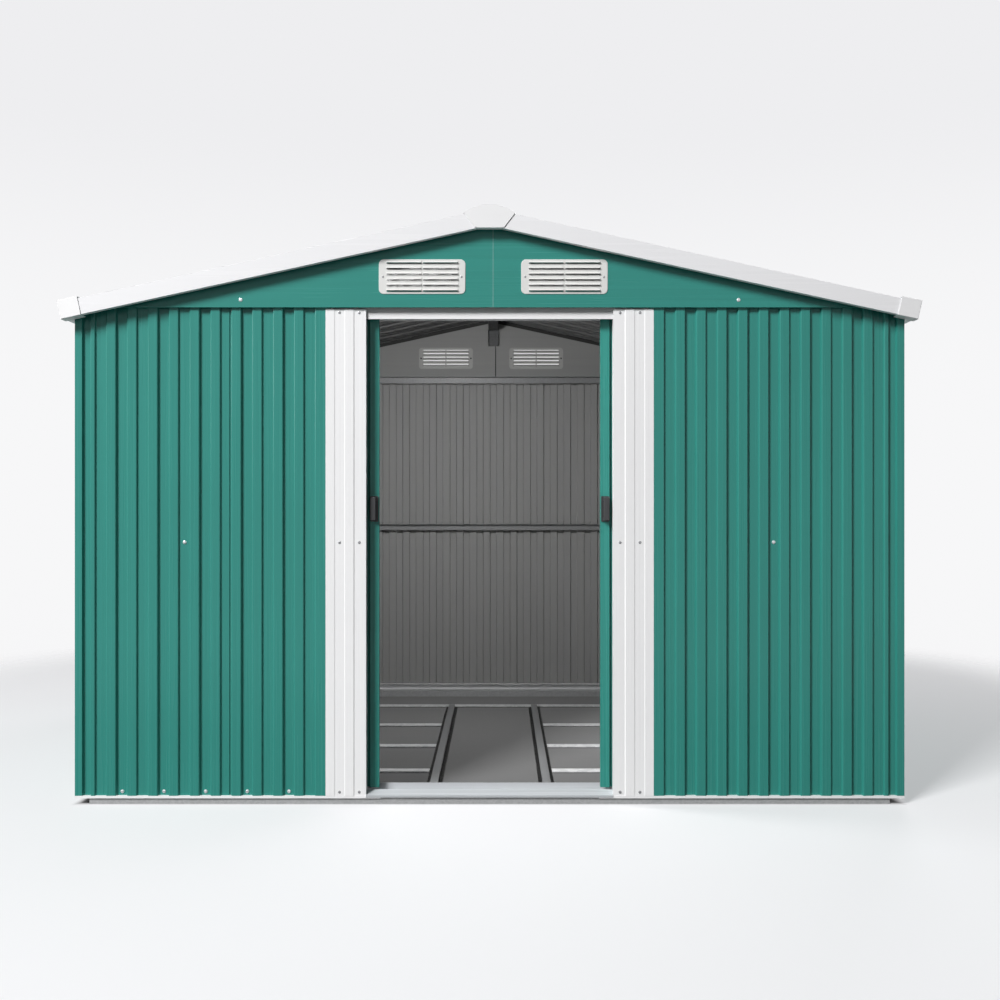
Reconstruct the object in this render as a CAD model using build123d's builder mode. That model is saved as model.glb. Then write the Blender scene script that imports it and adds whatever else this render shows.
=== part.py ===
from build123d import *

import math
import os

# Metal storage shed with two sliding doors: ribbed sheet walls and roof on a frame of folded steel.
# The front faces -Y, +X is to the right seen from the front, and the floor frame stands on Z = 0.

# Overall sizes, in millimetres
wall_width = 2690
wall_depth = 1860
eave_height = 1615.5
roof_rise = 292.5
roof_side_overhang = 40
roof_end_overhang = 45

# Sheet thicknesses and the gap where two sheets lie on each other
sheet = 0.6
rail_gauge = 1.2
trim_gauge = 0.8
cap_wall = 2.5
seat_gap = 0.3
lap = sheet + seat_gap

# Ribbed sheet: raised ribs, deep pans that touch the rails, and shallower pans between them
rib_depth = 10
shallow_pan = 3
rib_pitch = 68
pan_width = 30
rib_flank = 4
rib_bend = 1.6
lap_step = 5
corner_pan = 24
corner_rib = 21
corner_leg = 23
sheet_cover = 680

# Heights of the wall
lip_foot = 20
wall_foot = 28
gable_tip = 5
gable_lap = 3
mid_rail_height = 850

# Folded rails
bottom_web = 28
bottom_flange = 20
mid_rail_web = 30
mid_rail_flange = 20
top_rail_drop = 34.5
back_flange = 30
side_rail_web = 42
side_rail_flange = 25

# Door track over the opening and the guide strip under it
track_depth = 74
track_lip = 15
track_drop = 27.5
guide_top = 50
guide_base = 32
guide_setback = 66

# Doorway and its corrugated side trims
door_opening = 802
jamb_width = 131
jamb_head_gap = 3.5
jamb_ribs = 33
jamb_pan = 28
jamb_return = 20
jamb_underlap = 19
threshold_top = 40
threshold_depth = 35
threshold_lip = 5
threshold_tongue = 47

# Sliding doors, stored open
door_width = 466
door_foot = 44
door_head_drop = 12.5
door_reveal = 38
door_setback = 31
door_rib_depth = 8
door_stile = 30
door_edge = 16
door_rail_web = 40
door_rail_flange = 8
handle_width = 27
handle_height = 84
handle_depth = 20
handle_height_centre = 958
handle_flange = 3
handle_step = 2.5
handle_bevel = 2
handle_draft = 4
handle_lip = 6
grip_depth = 13
grip_wall = 6
grip_margin = 12
glider_width = 40
glider_inset = 60
glider_grip = 14
glider_tip_gap = 1.3
glider_rise = 10
guide_block_height = 18
guide_wall = 3

# Floor frame on the ground
edge_bar_width = 60
edge_bar_inset = 6
edge_bar_end_inset = 45
floor_channel_width = 28
floor_channel_toe = 13
floor_channel_height = 14
floor_channel_offset = 195
cross_bar_width = 36
cross_bar_height = 7
cross_bar_shares = (-0.288, -0.09, 0.111, 0.332)

# Gable halves, vents and the pieces under the roof
gable_stand = 8
gable_flange = 15
seam_overlap = 12
vent_spacing = 460
vent_rise = 98.5
vent_side_margin = 25
vent_end_margin = 7
vent_corner = 16
vent_plate = 2
vent_bevel = 1
vent_slot = 112
vent_mullion = 6
vent_bar = 10
vent_slot_height = 8
vent_rows = 6
vent_blade = 1.2
vent_hood = 6
vent_hood_drop = 4.2
vent_hole_margin = 12
ridge_beam_width = 46
ridge_beam_depth = 50
ridge_beam_flange = 25
bracket_height = 97
bracket_cheek = 25
bracket_drop = 30
purlin_offset = 800
purlin_web = 60
purlin_flange = 30
purlin_lip = 20

# Roof trims and their moulded caps
trim_drop = 40.3
trim_top_return = 25
trim_bottom_return = 20
ridge_cap_leg = 85
cap_run = 66
cap_depth = 40
cap_rise = 4
cap_bevel = 1.5
end_cap_crown = 9
end_cap_top = 23
end_cap_knee = 52
end_cap_shoulder = 84
end_cap_foot = 47
end_cap_cover = 7
end_cap_height = 73
end_cap_knee_drop = 9.6
end_cap_shoulder_drop = 25.8
end_cap_foot_rim = 25

# Overrun of every cut
overrun = 5

# Derived values
half_width = wall_width / 2
half_depth = wall_depth / 2
roof_width = wall_width + 2 * roof_side_overhang
roof_depth = wall_depth + 2 * roof_end_overhang
roof_angle = math.atan2(roof_rise, half_width)
slope_cos = math.cos(roof_angle)
slope_sin = math.sin(roof_angle)
apex = eave_height + roof_rise
gable_foot = eave_height - gable_tip
wall_top = gable_foot + gable_lap
top_rail_foot = gable_foot - top_rail_drop
track_lip_height = gable_foot - track_drop
door_head = gable_foot - door_head_drop
vent_height = gable_foot + vent_rise
rail_line = rib_depth + sheet
door_line = rail_line + door_setback
trim_low = -trim_drop
trim_high = rib_depth + sheet + seat_gap + trim_gauge
cap_gap = cap_wall + seat_gap
fascia_face = roof_depth / 2 - cap_gap
fascia_start = end_cap_foot - end_cap_cover
cap_high = trim_high + cap_rise + cap_gap
eave_run = (roof_width / 2 - cap_high * slope_sin) / slope_cos - cap_gap
gable_face = half_depth + gable_stand

os.makedirs("parts", exist_ok=True)


def roof_line(x):
    """Height of the underside of the roof sheets over a point across the shed."""
    return apex - abs(x) * roof_rise / half_width


def bent_outline(path, gauge):
    """Closed outline of a strip bent along a path, with its thickness on the left of the path."""
    points = [Vector(*point) for point in path]
    steps = [(b - a).normalized() for a, b in zip(points, points[1:])]
    normals = [Vector(-step.Y, step.X) for step in steps]
    far_side = [points[0] + normals[0] * gauge]
    for corner, before, after in zip(points[1:-1], normals, normals[1:]):
        far_side.append(corner + (before + after) * (gauge / (1 + before.dot(after))))
    far_side.append(points[-1] + normals[-1] * gauge)
    return points + far_side[::-1]


def strip_face(plane, path, gauge):
    """Face of a bent strip drawn on a plane."""
    with BuildSketch(plane) as section:
        with BuildLine():
            Polyline(*bent_outline(path, gauge), close=True)
        make_face()
    return section.sketch


def outline_face(plane, points):
    """Face inside a closed outline drawn on a plane."""
    with BuildSketch(plane) as section:
        with BuildLine():
            Polyline(*points, close=True)
        make_face()
    return section.sketch


def corrugation(start, end, ribs, pans, depth):
    """Path of a ribbed sheet as (along, height) points, with deep pans at zero and rib tops at depth.

    Each rib is (centre, top width), with bends at its top edges. Each pan is a height, one before every
    rib and one after the last.
    """
    path = [(start, pans[0])]
    bend_share = rib_bend / math.hypot(depth, rib_flank)
    for (centre, top), before, after in zip(ribs, pans, pans[1:]):
        half = top / 2
        bend_run = rib_flank * bend_share
        bend_height = depth * (1 - bend_share)
        path.append((centre - half - rib_flank * (depth - before) / depth, before))
        path.append((centre - half - bend_run, bend_height))
        path.append((centre - half + rib_bend, depth))
        path.append((centre + half - rib_bend, depth))
        path.append((centre + half + bend_run, bend_height))
        path.append((centre + half + rib_flank * (depth - after) / depth, after))
    path.append((end, pans[-1]))
    return path


def rib_row(first_pan, last_rib_end):
    """Ribs of equal pitch, each after a pan, that fill a stretch of wall or roof."""
    length = last_rib_end - first_pan
    count = round(length / rib_pitch)
    pitch = length / count
    top = pitch - pan_width - 2 * rib_flank
    first_centre = first_pan + (pitch + pan_width) / 2
    return [(first_centre + pitch * number, top) for number in range(count)]


def pan_heights(ribs):
    """Heights of the pans beside a row of ribs, deep and shallow by turns and deep at both ends."""
    heights = [shallow_pan if number % 2 else 0 for number in range(len(ribs))]
    return heights + [0]


def sheet_paths(start, end, ribs, depth):
    """Paths of the sheets that share one row of ribs, each lying over the next one in a pan."""
    pans = pan_heights(ribs)
    sheets = math.ceil((end - start) / sheet_cover)
    laps = [len(ribs) * number // sheets + 1 for number in range(1, sheets)]
    cuts = [0] + laps + [len(ribs)]
    paths = []
    for first, last in zip(cuts, cuts[1:]):
        heights = pans[first:last + 1]
        near = start
        far = end
        if first > 0:
            before_centre, before_top = ribs[first - 1]
            near = before_centre + before_top / 2 + 2 * rib_flank
            heights[0] = 0
        if last < len(ribs):
            after_centre, after_top = ribs[last]
            far = after_centre - after_top / 2 - rib_flank - lap_step
            heights[-1] = shallow_pan
        paths.append(corrugation(near, far, ribs[first:last], heights, depth))
    return paths


def full_wall_ribs(half_length):
    """Ribs of a whole wall, with a narrow rib beside each corner."""
    first_pan = -half_length + corner_leg + corner_pan + corner_rib
    row = rib_row(first_pan, -first_pan - pan_width)
    narrow_top = corner_rib - 2 * rib_flank
    narrow_centre = half_length - corner_leg - corner_pan - corner_rib / 2
    return [(-narrow_centre, narrow_top)] + row + [(narrow_centre, narrow_top)]


def keep(piece, name):
    """Label a finished piece and write its STEP file."""
    piece.part.label = name
    export_step(piece.part, f"parts/{name}.step")


def side_planes(along, inward, distance):
    """Makers of the plan plane and the section plane of one wall, with zero on the pans' outer face."""
    base = Vector(*inward) * -(distance - rib_depth)

    def plan(height):
        return Plane(origin=base + Vector(0, 0, height), x_dir=along, z_dir=(0, 0, 1))

    def section(place):
        return Plane(origin=base + Vector(*along) * place, x_dir=inward, z_dir=along)

    return plan, section


front_plan, front_section = side_planes((1, 0, 0), (0, 1, 0), half_depth)
right_plan, right_section = side_planes((0, 1, 0), (-1, 0, 0), half_width)
back_plan, back_section = side_planes((-1, 0, 0), (0, -1, 0), half_depth)

# Direction down the left slope of the roof
down_slope = (-slope_cos, 0, -slope_sin)


def slope_section(run):
    """Plane across the left slope at a distance from the ridge: outward to the front, and off the roof."""
    origin = Vector(0, 0, apex) + Vector(*down_slope) * run
    return Plane(origin=origin, x_dir=(0, -1, 0), z_dir=down_slope)


def slope_side(place):
    """Upright plane along the left slope at a place along the shed: down the slope, and off the roof."""
    return Plane(origin=(0, place, apex), x_dir=down_slope, z_dir=(0, 1, 0))


def across_plane(place):
    """Section plane of a bar that runs along X."""
    return Plane(origin=(place, 0, 0), x_dir=(0, 1, 0), z_dir=(1, 0, 0))


def length_plane(place):
    """Section plane of a bar that runs along Y."""
    return Plane(origin=(0, place, 0), x_dir=(-1, 0, 0), z_dir=(0, 1, 0))


def channel_path(centre, width, height):
    """Path of a channel that opens downward."""
    half = width / 2
    return [(centre + half, 0), (centre + half, height), (centre - half, height), (centre - half, 0)]


def hat_path(centre, width, height, toe):
    """Path of a channel that opens downward and stands on two toes."""
    half = width / 2
    right_toe = [(centre + half + toe, rail_gauge), (centre + half, rail_gauge)]
    left_toe = [(centre - half, rail_gauge), (centre - half - toe, rail_gauge)]
    return right_toe + [(centre + half, height), (centre - half, height)] + left_toe


# Floor frame
edge_bar_height = wall_foot - rail_gauge
edge_line = half_depth - edge_bar_inset - edge_bar_width / 2
side_edge_line = half_width - edge_bar_end_inset - edge_bar_width / 2
edge_inner = edge_line - edge_bar_width / 2
side_edge_inner = side_edge_line - edge_bar_width / 2
end_bar_half = half_width - edge_bar_end_inset
far_bar = cross_bar_shares[-1] * wall_depth
channel_end = far_bar - cross_bar_width / 2
bay_start = floor_channel_offset + floor_channel_width / 2 + floor_channel_toe

with BuildPart() as floor_end_bars:
    path = channel_path(-edge_line, edge_bar_width, edge_bar_height)
    extrude(strip_face(across_plane(-end_bar_half), path, rail_gauge), amount=2 * end_bar_half)
    mirror(about=Plane.XZ)
keep(floor_end_bars, "floor_end_bars")

with BuildPart() as floor_side_bars:
    path = channel_path(side_edge_line, edge_bar_width, edge_bar_height)
    extrude(strip_face(length_plane(-edge_inner), path, rail_gauge), amount=2 * edge_inner)
    mirror(about=Plane.YZ)
keep(floor_side_bars, "floor_side_bars")

with BuildPart() as floor_channels:
    path = hat_path(floor_channel_offset, floor_channel_width, floor_channel_height, floor_channel_toe)
    extrude(strip_face(length_plane(-edge_inner), path, rail_gauge), amount=edge_inner + channel_end)
    mirror(about=Plane.YZ)
keep(floor_channels, "floor_channels")

with BuildPart() as floor_cross_bars:
    for share in cross_bar_shares[:-1]:
        path = channel_path(share * wall_depth, cross_bar_width, cross_bar_height)
        extrude(strip_face(across_plane(bay_start), path, rail_gauge), amount=side_edge_inner - bay_start)
    mirror(about=Plane.YZ)
    path = channel_path(far_bar, cross_bar_width, cross_bar_height)
    extrude(strip_face(across_plane(-side_edge_inner), path, rail_gauge), amount=2 * side_edge_inner)
keep(floor_cross_bars, "floor_cross_bars")

# Bottom rails under the wall sheets: a web behind the sheets, on a shelf with a lip that runs to the corners
bottom_top = wall_foot + bottom_web
rail_face = rail_line - rib_depth
web_path = [
    (rail_face + bottom_flange, bottom_top),
    (rail_face, bottom_top),
    (rail_face, wall_foot - rail_gauge),
]
shelf_path = [
    (rail_face + rail_gauge, wall_foot),
    (-rib_depth, wall_foot),
    (-rib_depth, lip_foot),
]
half_opening = door_opening / 2
jamb_face = half_opening + sheet + seat_gap
tongue_end = half_opening - threshold_tongue
inner_half_width = half_width - rail_line
inner_half_depth = half_depth - rail_line
side_rail_half = inner_half_depth - bottom_flange
side_shelf_half = inner_half_depth - rail_gauge - seat_gap

with BuildPart() as front_bottom_rails:
    web = strip_face(front_section(-inner_half_width), web_path, rail_gauge)
    extrude(web, amount=inner_half_width - jamb_face)
    shelf = strip_face(front_section(-half_width), shelf_path, rail_gauge)
    extrude(shelf, amount=half_width - tongue_end)
    mirror(about=Plane.YZ)
keep(front_bottom_rails, "front_bottom_rails")

with BuildPart() as back_bottom_rail:
    web = strip_face(back_section(-inner_half_width), web_path, rail_gauge)
    extrude(web, amount=2 * inner_half_width)
    shelf = strip_face(back_section(-half_width), shelf_path, rail_gauge)
    extrude(shelf, amount=wall_width)
keep(back_bottom_rail, "back_bottom_rail")

with BuildPart() as side_bottom_rails:
    web = strip_face(right_section(-side_rail_half), web_path, rail_gauge)
    extrude(web, amount=2 * side_rail_half)
    shelf = strip_face(right_section(-side_shelf_half), shelf_path, rail_gauge)
    extrude(shelf, amount=2 * side_shelf_half)
    mirror(about=Plane.YZ)
keep(side_bottom_rails, "side_bottom_rails")

# Threshold ramp in the doorway, and the upright strip that the doors' guides straddle
with BuildPart() as door_threshold:
    ramp_end = threshold_depth - rib_depth
    ramp_foot = wall_foot + rail_gauge + 2 * seat_gap
    lip_line = -rib_depth - rail_gauge - seat_gap
    path = [
        (ramp_end, edge_bar_height),
        (ramp_end, threshold_top),
        (lip_line, ramp_foot),
        (lip_line, wall_foot - threshold_lip),
    ]
    face = strip_face(front_section(-half_opening), path, rail_gauge)
    extrude(face, amount=door_opening)
keep(door_threshold, "door_threshold")

guide_half = half_opening - door_reveal + door_width
with BuildPart() as door_bottom_track:
    path = [
        (guide_setback - guide_base, edge_bar_height),
        (guide_setback, edge_bar_height),
        (guide_setback, guide_top),
    ]
    extrude(strip_face(front_section(-guide_half), path, rail_gauge), amount=2 * guide_half)
keep(door_bottom_track, "door_bottom_track")

# Wall sheets
sheet_height = wall_top - wall_foot
side_sheet_height = eave_height - 2 * lap - wall_foot
wall_edge = half_width - rib_depth
side_edge = half_depth - rail_line
front_first_pan = -half_width + corner_leg + corner_pan + corner_rib
jamb_outer = half_opening + jamb_width

with BuildPart() as front_left_wall:
    narrow = (front_first_pan - corner_rib / 2, corner_rib - 2 * rib_flank)
    row = rib_row(front_first_pan, -jamb_outer)
    last_centre, last_top = row[-1]
    row[-1] = (last_centre + jamb_underlap / 2 + rib_flank / 2, last_top + jamb_underlap + rib_flank)
    paths = sheet_paths(-wall_edge, -half_opening, [narrow] + row, rib_depth)
    under_trim = paths[-1][:-3]
    for path in paths[:-1] + [under_trim]:
        face = strip_face(front_plan(wall_foot), [(u, -h) for u, h in path], sheet)
        extrude(face, amount=sheet_height)
keep(front_left_wall, "front_left_wall")

with BuildPart() as front_right_wall:
    mirror(front_left_wall.part, about=Plane.YZ)
keep(front_right_wall, "front_right_wall")

with BuildPart() as back_wall:
    for path in sheet_paths(-wall_edge, wall_edge, full_wall_ribs(half_width), rib_depth):
        face = strip_face(back_plan(wall_foot), [(u, -h) for u, h in path], sheet)
        extrude(face, amount=sheet_height)
keep(back_wall, "back_wall")

with BuildPart() as right_wall:
    for path in sheet_paths(-side_edge, side_edge, full_wall_ribs(half_depth), rib_depth):
        face = strip_face(right_plan(wall_foot), [(u, -h) for u, h in path], sheet)
        extrude(face, amount=side_sheet_height)
keep(right_wall, "right_wall")

with BuildPart() as left_wall:
    mirror(right_wall.part, about=Plane.YZ)
keep(left_wall, "left_wall")

# Folded corner angles over the ends of the wall sheets
with BuildPart() as corner_angles:
    front_foot = -half_depth + rib_depth - seat_gap
    side_foot = half_width - rib_depth + seat_gap
    path = [
        (half_width - corner_leg - rib_flank, front_foot),
        (half_width - corner_leg, -half_depth),
        (half_width, -half_depth),
        (half_width, -half_depth + corner_leg),
        (side_foot, -half_depth + corner_leg + rib_flank),
    ]
    extrude(strip_face(Plane.XY.offset(wall_foot), path, sheet), amount=side_sheet_height)
    mirror(about=Plane.YZ)
    mirror(about=Plane.XZ)
keep(corner_angles, "corner_angles")

# Ribbed trims beside the doorway
with BuildPart() as left_jamb_trim:
    high = -rib_depth - lap
    inner_edge = -half_opening
    first_top = -jamb_outer + jamb_ribs
    second_rib = first_top + jamb_pan
    second_end = second_rib + jamb_ribs
    path = [
        (-jamb_outer, high),
        (first_top - rib_flank, high),
        (first_top, 0),
        (second_rib, 0),
        (second_rib + rib_flank, high),
        (second_end - rib_flank, high),
        (second_end, 0),
        (inner_edge, 0),
    ]
    extrude(strip_face(front_plan(wall_foot), path, sheet), amount=gable_foot - jamb_head_gap - wall_foot)
    path = [(inner_edge, sheet), (inner_edge, jamb_return)]
    extrude(strip_face(front_plan(wall_foot), path, sheet), amount=top_rail_foot - seat_gap - wall_foot)
keep(left_jamb_trim, "left_jamb_trim")

with BuildPart() as right_jamb_trim:
    mirror(left_jamb_trim.part, about=Plane.YZ)
keep(right_jamb_trim, "right_jamb_trim")

# Rails at mid height inside the walls
mid_low = mid_rail_height - mid_rail_web / 2
mid_high = mid_rail_height + mid_rail_web / 2
mid_path = [
    (rail_face + mid_rail_flange, mid_high),
    (rail_face, mid_high),
    (rail_face, mid_low),
    (rail_face + mid_rail_flange, mid_low),
]
side_mid_half = inner_half_depth - mid_rail_flange

with BuildPart() as front_mid_rails:
    face = strip_face(front_section(-inner_half_width), mid_path, rail_gauge)
    extrude(face, amount=inner_half_width - jamb_face)
    mirror(about=Plane.YZ)
keep(front_mid_rails, "front_mid_rails")

with BuildPart() as back_mid_rail:
    face = strip_face(back_section(-inner_half_width), mid_path, rail_gauge)
    extrude(face, amount=2 * inner_half_width)
keep(back_mid_rail, "back_mid_rail")

with BuildPart() as side_mid_rails:
    face = strip_face(right_section(-side_mid_half), mid_path, rail_gauge)
    extrude(face, amount=2 * side_mid_half)
    mirror(about=Plane.YZ)
keep(side_mid_rails, "side_mid_rails")

# Top rails: the front one is the header and carries the door track
track_back = rail_face + track_depth
with BuildPart() as front_top_rail:
    with BuildSketch(front_section(-inner_half_width)):
        with BuildLine():
            web = [(rail_face, wall_top), (rail_face, top_rail_foot)]
            Polyline(*bent_outline(web, rail_gauge), close=True)
        make_face()
        with BuildLine():
            hook = [
                (track_back - track_lip, track_lip_height),
                (track_back, track_lip_height),
                (track_back, gable_foot),
                (rail_face, gable_foot),
            ]
            Polyline(*bent_outline(hook, rail_gauge), close=True)
        make_face()
    extrude(amount=2 * inner_half_width)
keep(front_top_rail, "front_top_rail")

with BuildPart() as back_top_rail:
    path = [
        (rail_face + back_flange, gable_foot),
        (rail_face, gable_foot),
        (rail_face, top_rail_foot),
        (rail_face + back_flange, top_rail_foot),
    ]
    face = strip_face(back_section(-inner_half_width), path, rail_gauge)
    extrude(face, amount=2 * inner_half_width)
keep(back_top_rail, "back_top_rail")

with BuildPart() as side_top_rails:
    front_stop = -inner_half_depth + track_depth + seat_gap
    back_stop = inner_half_depth - back_flange - seat_gap
    web_place = inner_half_width
    flange_place = inner_half_width - side_rail_flange
    web_top = roof_line(web_place) - lap
    path = [
        (rail_face + side_rail_flange, roof_line(flange_place) - lap),
        (rail_face, web_top),
        (rail_face, web_top - side_rail_web),
    ]
    face = strip_face(right_section(front_stop), path, rail_gauge)
    extrude(face, amount=back_stop - front_stop)
    mirror(about=Plane.YZ)
keep(side_top_rails, "side_top_rails")

# Gable halves: flat sheets that lap at the seam, with flanges at the roof and the foot, and a hole for a vent
vent_pitch = vent_slot_height + vent_bar
vent_width = 2 * vent_slot + vent_mullion + 2 * vent_side_margin
vent_tall = (vent_rows - 1) * vent_pitch + vent_slot_height + 2 * vent_end_margin
vent_hole_width = vent_width - 2 * vent_hole_margin
vent_hole_height = vent_tall - 2 * vent_hole_margin


def gable_plane(distance):
    """Upright plane across the front, facing out."""
    return Plane(origin=(0, -distance, 0), x_dir=(1, 0, 0), z_dir=(0, -1, 0))


def gable_half(side, distance):
    """Front gable half on one side (-1 left, 1 right), with its inner face at a distance from the centre."""
    with BuildPart() as half:
        outline = [
            (side * half_width, gable_foot),
            (-side * seam_overlap, gable_foot),
            (-side * seam_overlap, roof_line(seam_overlap)),
            (0, apex),
            (side * half_width, eave_height),
        ]
        extrude(outline_face(gable_plane(distance), outline), amount=sheet)
        flange_start = side * (seam_overlap + seat_gap)
        flange_drop = sheet / slope_cos
        flange = [
            (side * half_width, eave_height),
            (flange_start, roof_line(flange_start)),
            (flange_start, roof_line(flange_start) - flange_drop),
            (side * half_width, eave_height - flange_drop),
        ]
        extrude(outline_face(gable_plane(distance), flange), amount=-gable_flange)
        foot = [
            (side * half_width, gable_foot),
            (flange_start, gable_foot),
            (flange_start, gable_foot + sheet),
            (side * half_width, gable_foot + sheet),
        ]
        foot_reach = distance - half_depth - seat_gap
        extrude(outline_face(gable_plane(distance), foot), amount=-foot_reach)
        with BuildSketch(gable_plane(distance - overrun)):
            with Locations((seam_overlap + side * vent_spacing / 2, vent_height)):
                Rectangle(vent_hole_width, vent_hole_height)
        extrude(amount=2 * overrun, mode=Mode.SUBTRACT)
    return half


front_right_gable = gable_half(1, gable_face)
keep(front_right_gable, "front_right_gable")
front_left_gable = gable_half(-1, gable_face + sheet)
keep(front_left_gable, "front_left_gable")

with BuildPart() as back_left_gable:
    add(front_right_gable.part.rotate(Axis.Z, 180))
keep(back_left_gable, "back_left_gable")

with BuildPart() as back_right_gable:
    add(front_left_gable.part.rotate(Axis.Z, 180))
keep(back_right_gable, "back_right_gable")


def vent(side, distance):
    """Louvred vent of a front gable: a rounded plate with hooded slots in two columns."""
    centre = seam_overlap + side * vent_spacing / 2
    column = (vent_slot + vent_mullion) / 2
    with BuildPart() as plate:
        with BuildSketch(gable_plane(distance)):
            with Locations((centre, vent_height)):
                RectangleRounded(vent_width, vent_tall, vent_corner)
                with GridLocations(2 * column, vent_pitch, 2, vent_rows):
                    Rectangle(vent_slot, vent_slot_height, mode=Mode.SUBTRACT)
        extrude(amount=vent_plate)
        rim = plate.faces().sort_by(Axis.Y)[0].outer_wire().edges()
        chamfer(rim, length=vent_bevel)
        for row in range(vent_rows):
            hood_top = vent_height + (row - (vent_rows - 1) / 2) * vent_pitch + vent_slot_height / 2
            for place in (-column, column):
                start = centre + place - vent_slot / 2
                hood_foot = (start, -distance - vent_plate, hood_top)
                hood = Plane(origin=hood_foot, x_dir=(0, -1, 0), z_dir=(-1, 0, 0))
                blade = [
                    (0, vent_blade),
                    (0, 0),
                    (vent_hood, -vent_hood_drop),
                    (vent_hood, -vent_hood_drop + vent_blade),
                ]
                extrude(outline_face(hood, blade), amount=-vent_slot)
    return plate


front_left_vent = vent(-1, gable_face + 2 * sheet)
keep(front_left_vent, "front_left_vent")
front_right_vent = vent(1, gable_face + sheet)
keep(front_right_vent, "front_right_vent")

with BuildPart() as back_vents:
    add(front_left_vent.part.rotate(Axis.Z, 180))
    add(front_right_vent.part.rotate(Axis.Z, 180))
keep(back_vents, "back_vents")

# Ridge beam, its brackets on the gables, and the purlins
beam_half = ridge_beam_width / 2
beam_reach = beam_half + ridge_beam_flange
beam_foot = roof_line(beam_half) - lap - ridge_beam_depth
bracket_plate = gable_face - seat_gap
beam_end = bracket_plate - rail_gauge

with BuildPart() as ridge_beam:
    path = [
        (beam_reach, roof_line(beam_reach) - lap),
        (beam_half, roof_line(beam_half) - lap),
        (beam_half, beam_foot),
        (-beam_half, beam_foot),
        (-beam_half, roof_line(beam_half) - lap),
        (-beam_reach, roof_line(beam_reach) - lap),
    ]
    extrude(strip_face(gable_plane(-beam_end), path, rail_gauge), amount=2 * beam_end)
keep(ridge_beam, "ridge_beam")

with BuildPart() as ridge_brackets:
    cheek = beam_half + seat_gap + 2 * rail_gauge
    path = [
        (-cheek, -bracket_plate + bracket_cheek),
        (-cheek, -bracket_plate),
        (cheek, -bracket_plate),
        (cheek, -bracket_plate + bracket_cheek),
    ]
    bracket_top = roof_line(beam_reach) - bracket_drop
    face = strip_face(Plane.XY.offset(bracket_top), path, rail_gauge)
    extrude(face, amount=-bracket_height)
    mirror(about=Plane.XZ)
keep(ridge_brackets, "ridge_brackets")

with BuildPart() as purlins:
    run = purlin_offset / slope_cos
    purlin_end = gable_face - seat_gap
    path = [
        (run - purlin_lip, -lap - purlin_web),
        (run, -lap - purlin_web),
        (run, -lap),
        (run - purlin_flange, -lap),
    ]
    extrude(strip_face(slope_side(-purlin_end), path, rail_gauge), amount=2 * purlin_end)
    mirror(about=Plane.YZ)
keep(purlins, "purlins")

# Roof sheets and the ridge cap
sheet_end = fascia_face - trim_gauge - seat_gap
roof_run = eave_run - trim_gauge - 2 * seat_gap

with BuildPart() as left_roof_sheet:
    ribs = rib_row(-sheet_end, sheet_end - pan_width)
    for path in sheet_paths(-sheet_end, sheet_end, ribs, rib_depth):
        extrude(strip_face(slope_section(seat_gap), path, sheet), amount=roof_run)
keep(left_roof_sheet, "left_roof_sheet")

with BuildPart() as right_roof_sheet:
    mirror(left_roof_sheet.part, about=Plane.YZ)
keep(right_roof_sheet, "right_roof_sheet")

with BuildPart() as ridge_cap:
    cap_seat = trim_high - trim_gauge
    cap_half = fascia_face - trim_top_return - seat_gap
    leg_x = ridge_cap_leg * slope_cos + cap_seat * slope_sin
    leg_z = apex - ridge_cap_leg * slope_sin + cap_seat * slope_cos
    path = [(-leg_x, leg_z), (0, apex + cap_seat / slope_cos), (leg_x, leg_z)]
    extrude(strip_face(gable_plane(-cap_half), path, sheet), amount=2 * cap_half)
keep(ridge_cap, "ridge_cap")

# White trims along the gable ends and the eaves
with BuildPart() as front_left_fascia:
    path = [
        (fascia_face - trim_bottom_return, trim_low),
        (fascia_face, trim_low),
        (fascia_face, trim_high),
        (fascia_face - trim_top_return, trim_high),
    ]
    extrude(strip_face(slope_section(-overrun), path, trim_gauge), amount=eave_run + overrun)
    split(bisect_by=Plane.YZ.offset(-fascia_start), keep=Keep.BOTTOM)
keep(front_left_fascia, "front_left_fascia")

with BuildPart() as front_right_fascia:
    mirror(front_left_fascia.part, about=Plane.YZ)
keep(front_right_fascia, "front_right_fascia")

with BuildPart() as back_left_fascia:
    mirror(front_left_fascia.part, about=Plane.XZ)
keep(back_left_fascia, "back_left_fascia")

with BuildPart() as back_right_fascia:
    mirror(front_right_fascia.part, about=Plane.XZ)
keep(back_right_fascia, "back_right_fascia")

with BuildPart() as left_eave_trim:
    path = [
        (eave_run - trim_bottom_return, trim_low),
        (eave_run, trim_low),
        (eave_run, trim_high),
        (eave_run - trim_top_return, trim_high),
    ]
    eave_half = fascia_face - trim_top_return - seat_gap
    extrude(strip_face(slope_side(-eave_half), path, trim_gauge), amount=2 * eave_half)
keep(left_eave_trim, "left_eave_trim")

with BuildPart() as right_eave_trim:
    mirror(left_eave_trim.part, about=Plane.YZ)
keep(right_eave_trim, "right_eave_trim")

# Moulded caps over the corners of the trims and over the ends of the ridge
with BuildPart() as eave_corner_caps:
    cap_face = roof_depth / 2
    cap_middle = (trim_low + trim_high + cap_rise) / 2
    cap_tall = cap_high - trim_low + cap_gap
    with BuildSketch(slope_side(-cap_face)):
        with Locations((eave_run + cap_gap - cap_run / 2, cap_middle)):
            Rectangle(cap_run, cap_tall)
    extrude(amount=cap_depth)
    outer_edges = eave_corner_caps.faces().sort_by(Axis.Y)[0].edges().sort_by(Axis.X)[:-1]
    chamfer(outer_edges, length=cap_bevel)
    with BuildSketch(slope_side(-cap_face + cap_wall)):
        with Locations((eave_run + seat_gap - (cap_run + overrun) / 2, cap_middle)):
            Rectangle(cap_run + overrun, cap_tall - 2 * cap_wall)
    extrude(amount=cap_depth, mode=Mode.SUBTRACT)
    mirror(about=Plane.YZ)
    mirror(about=Plane.XZ)
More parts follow.
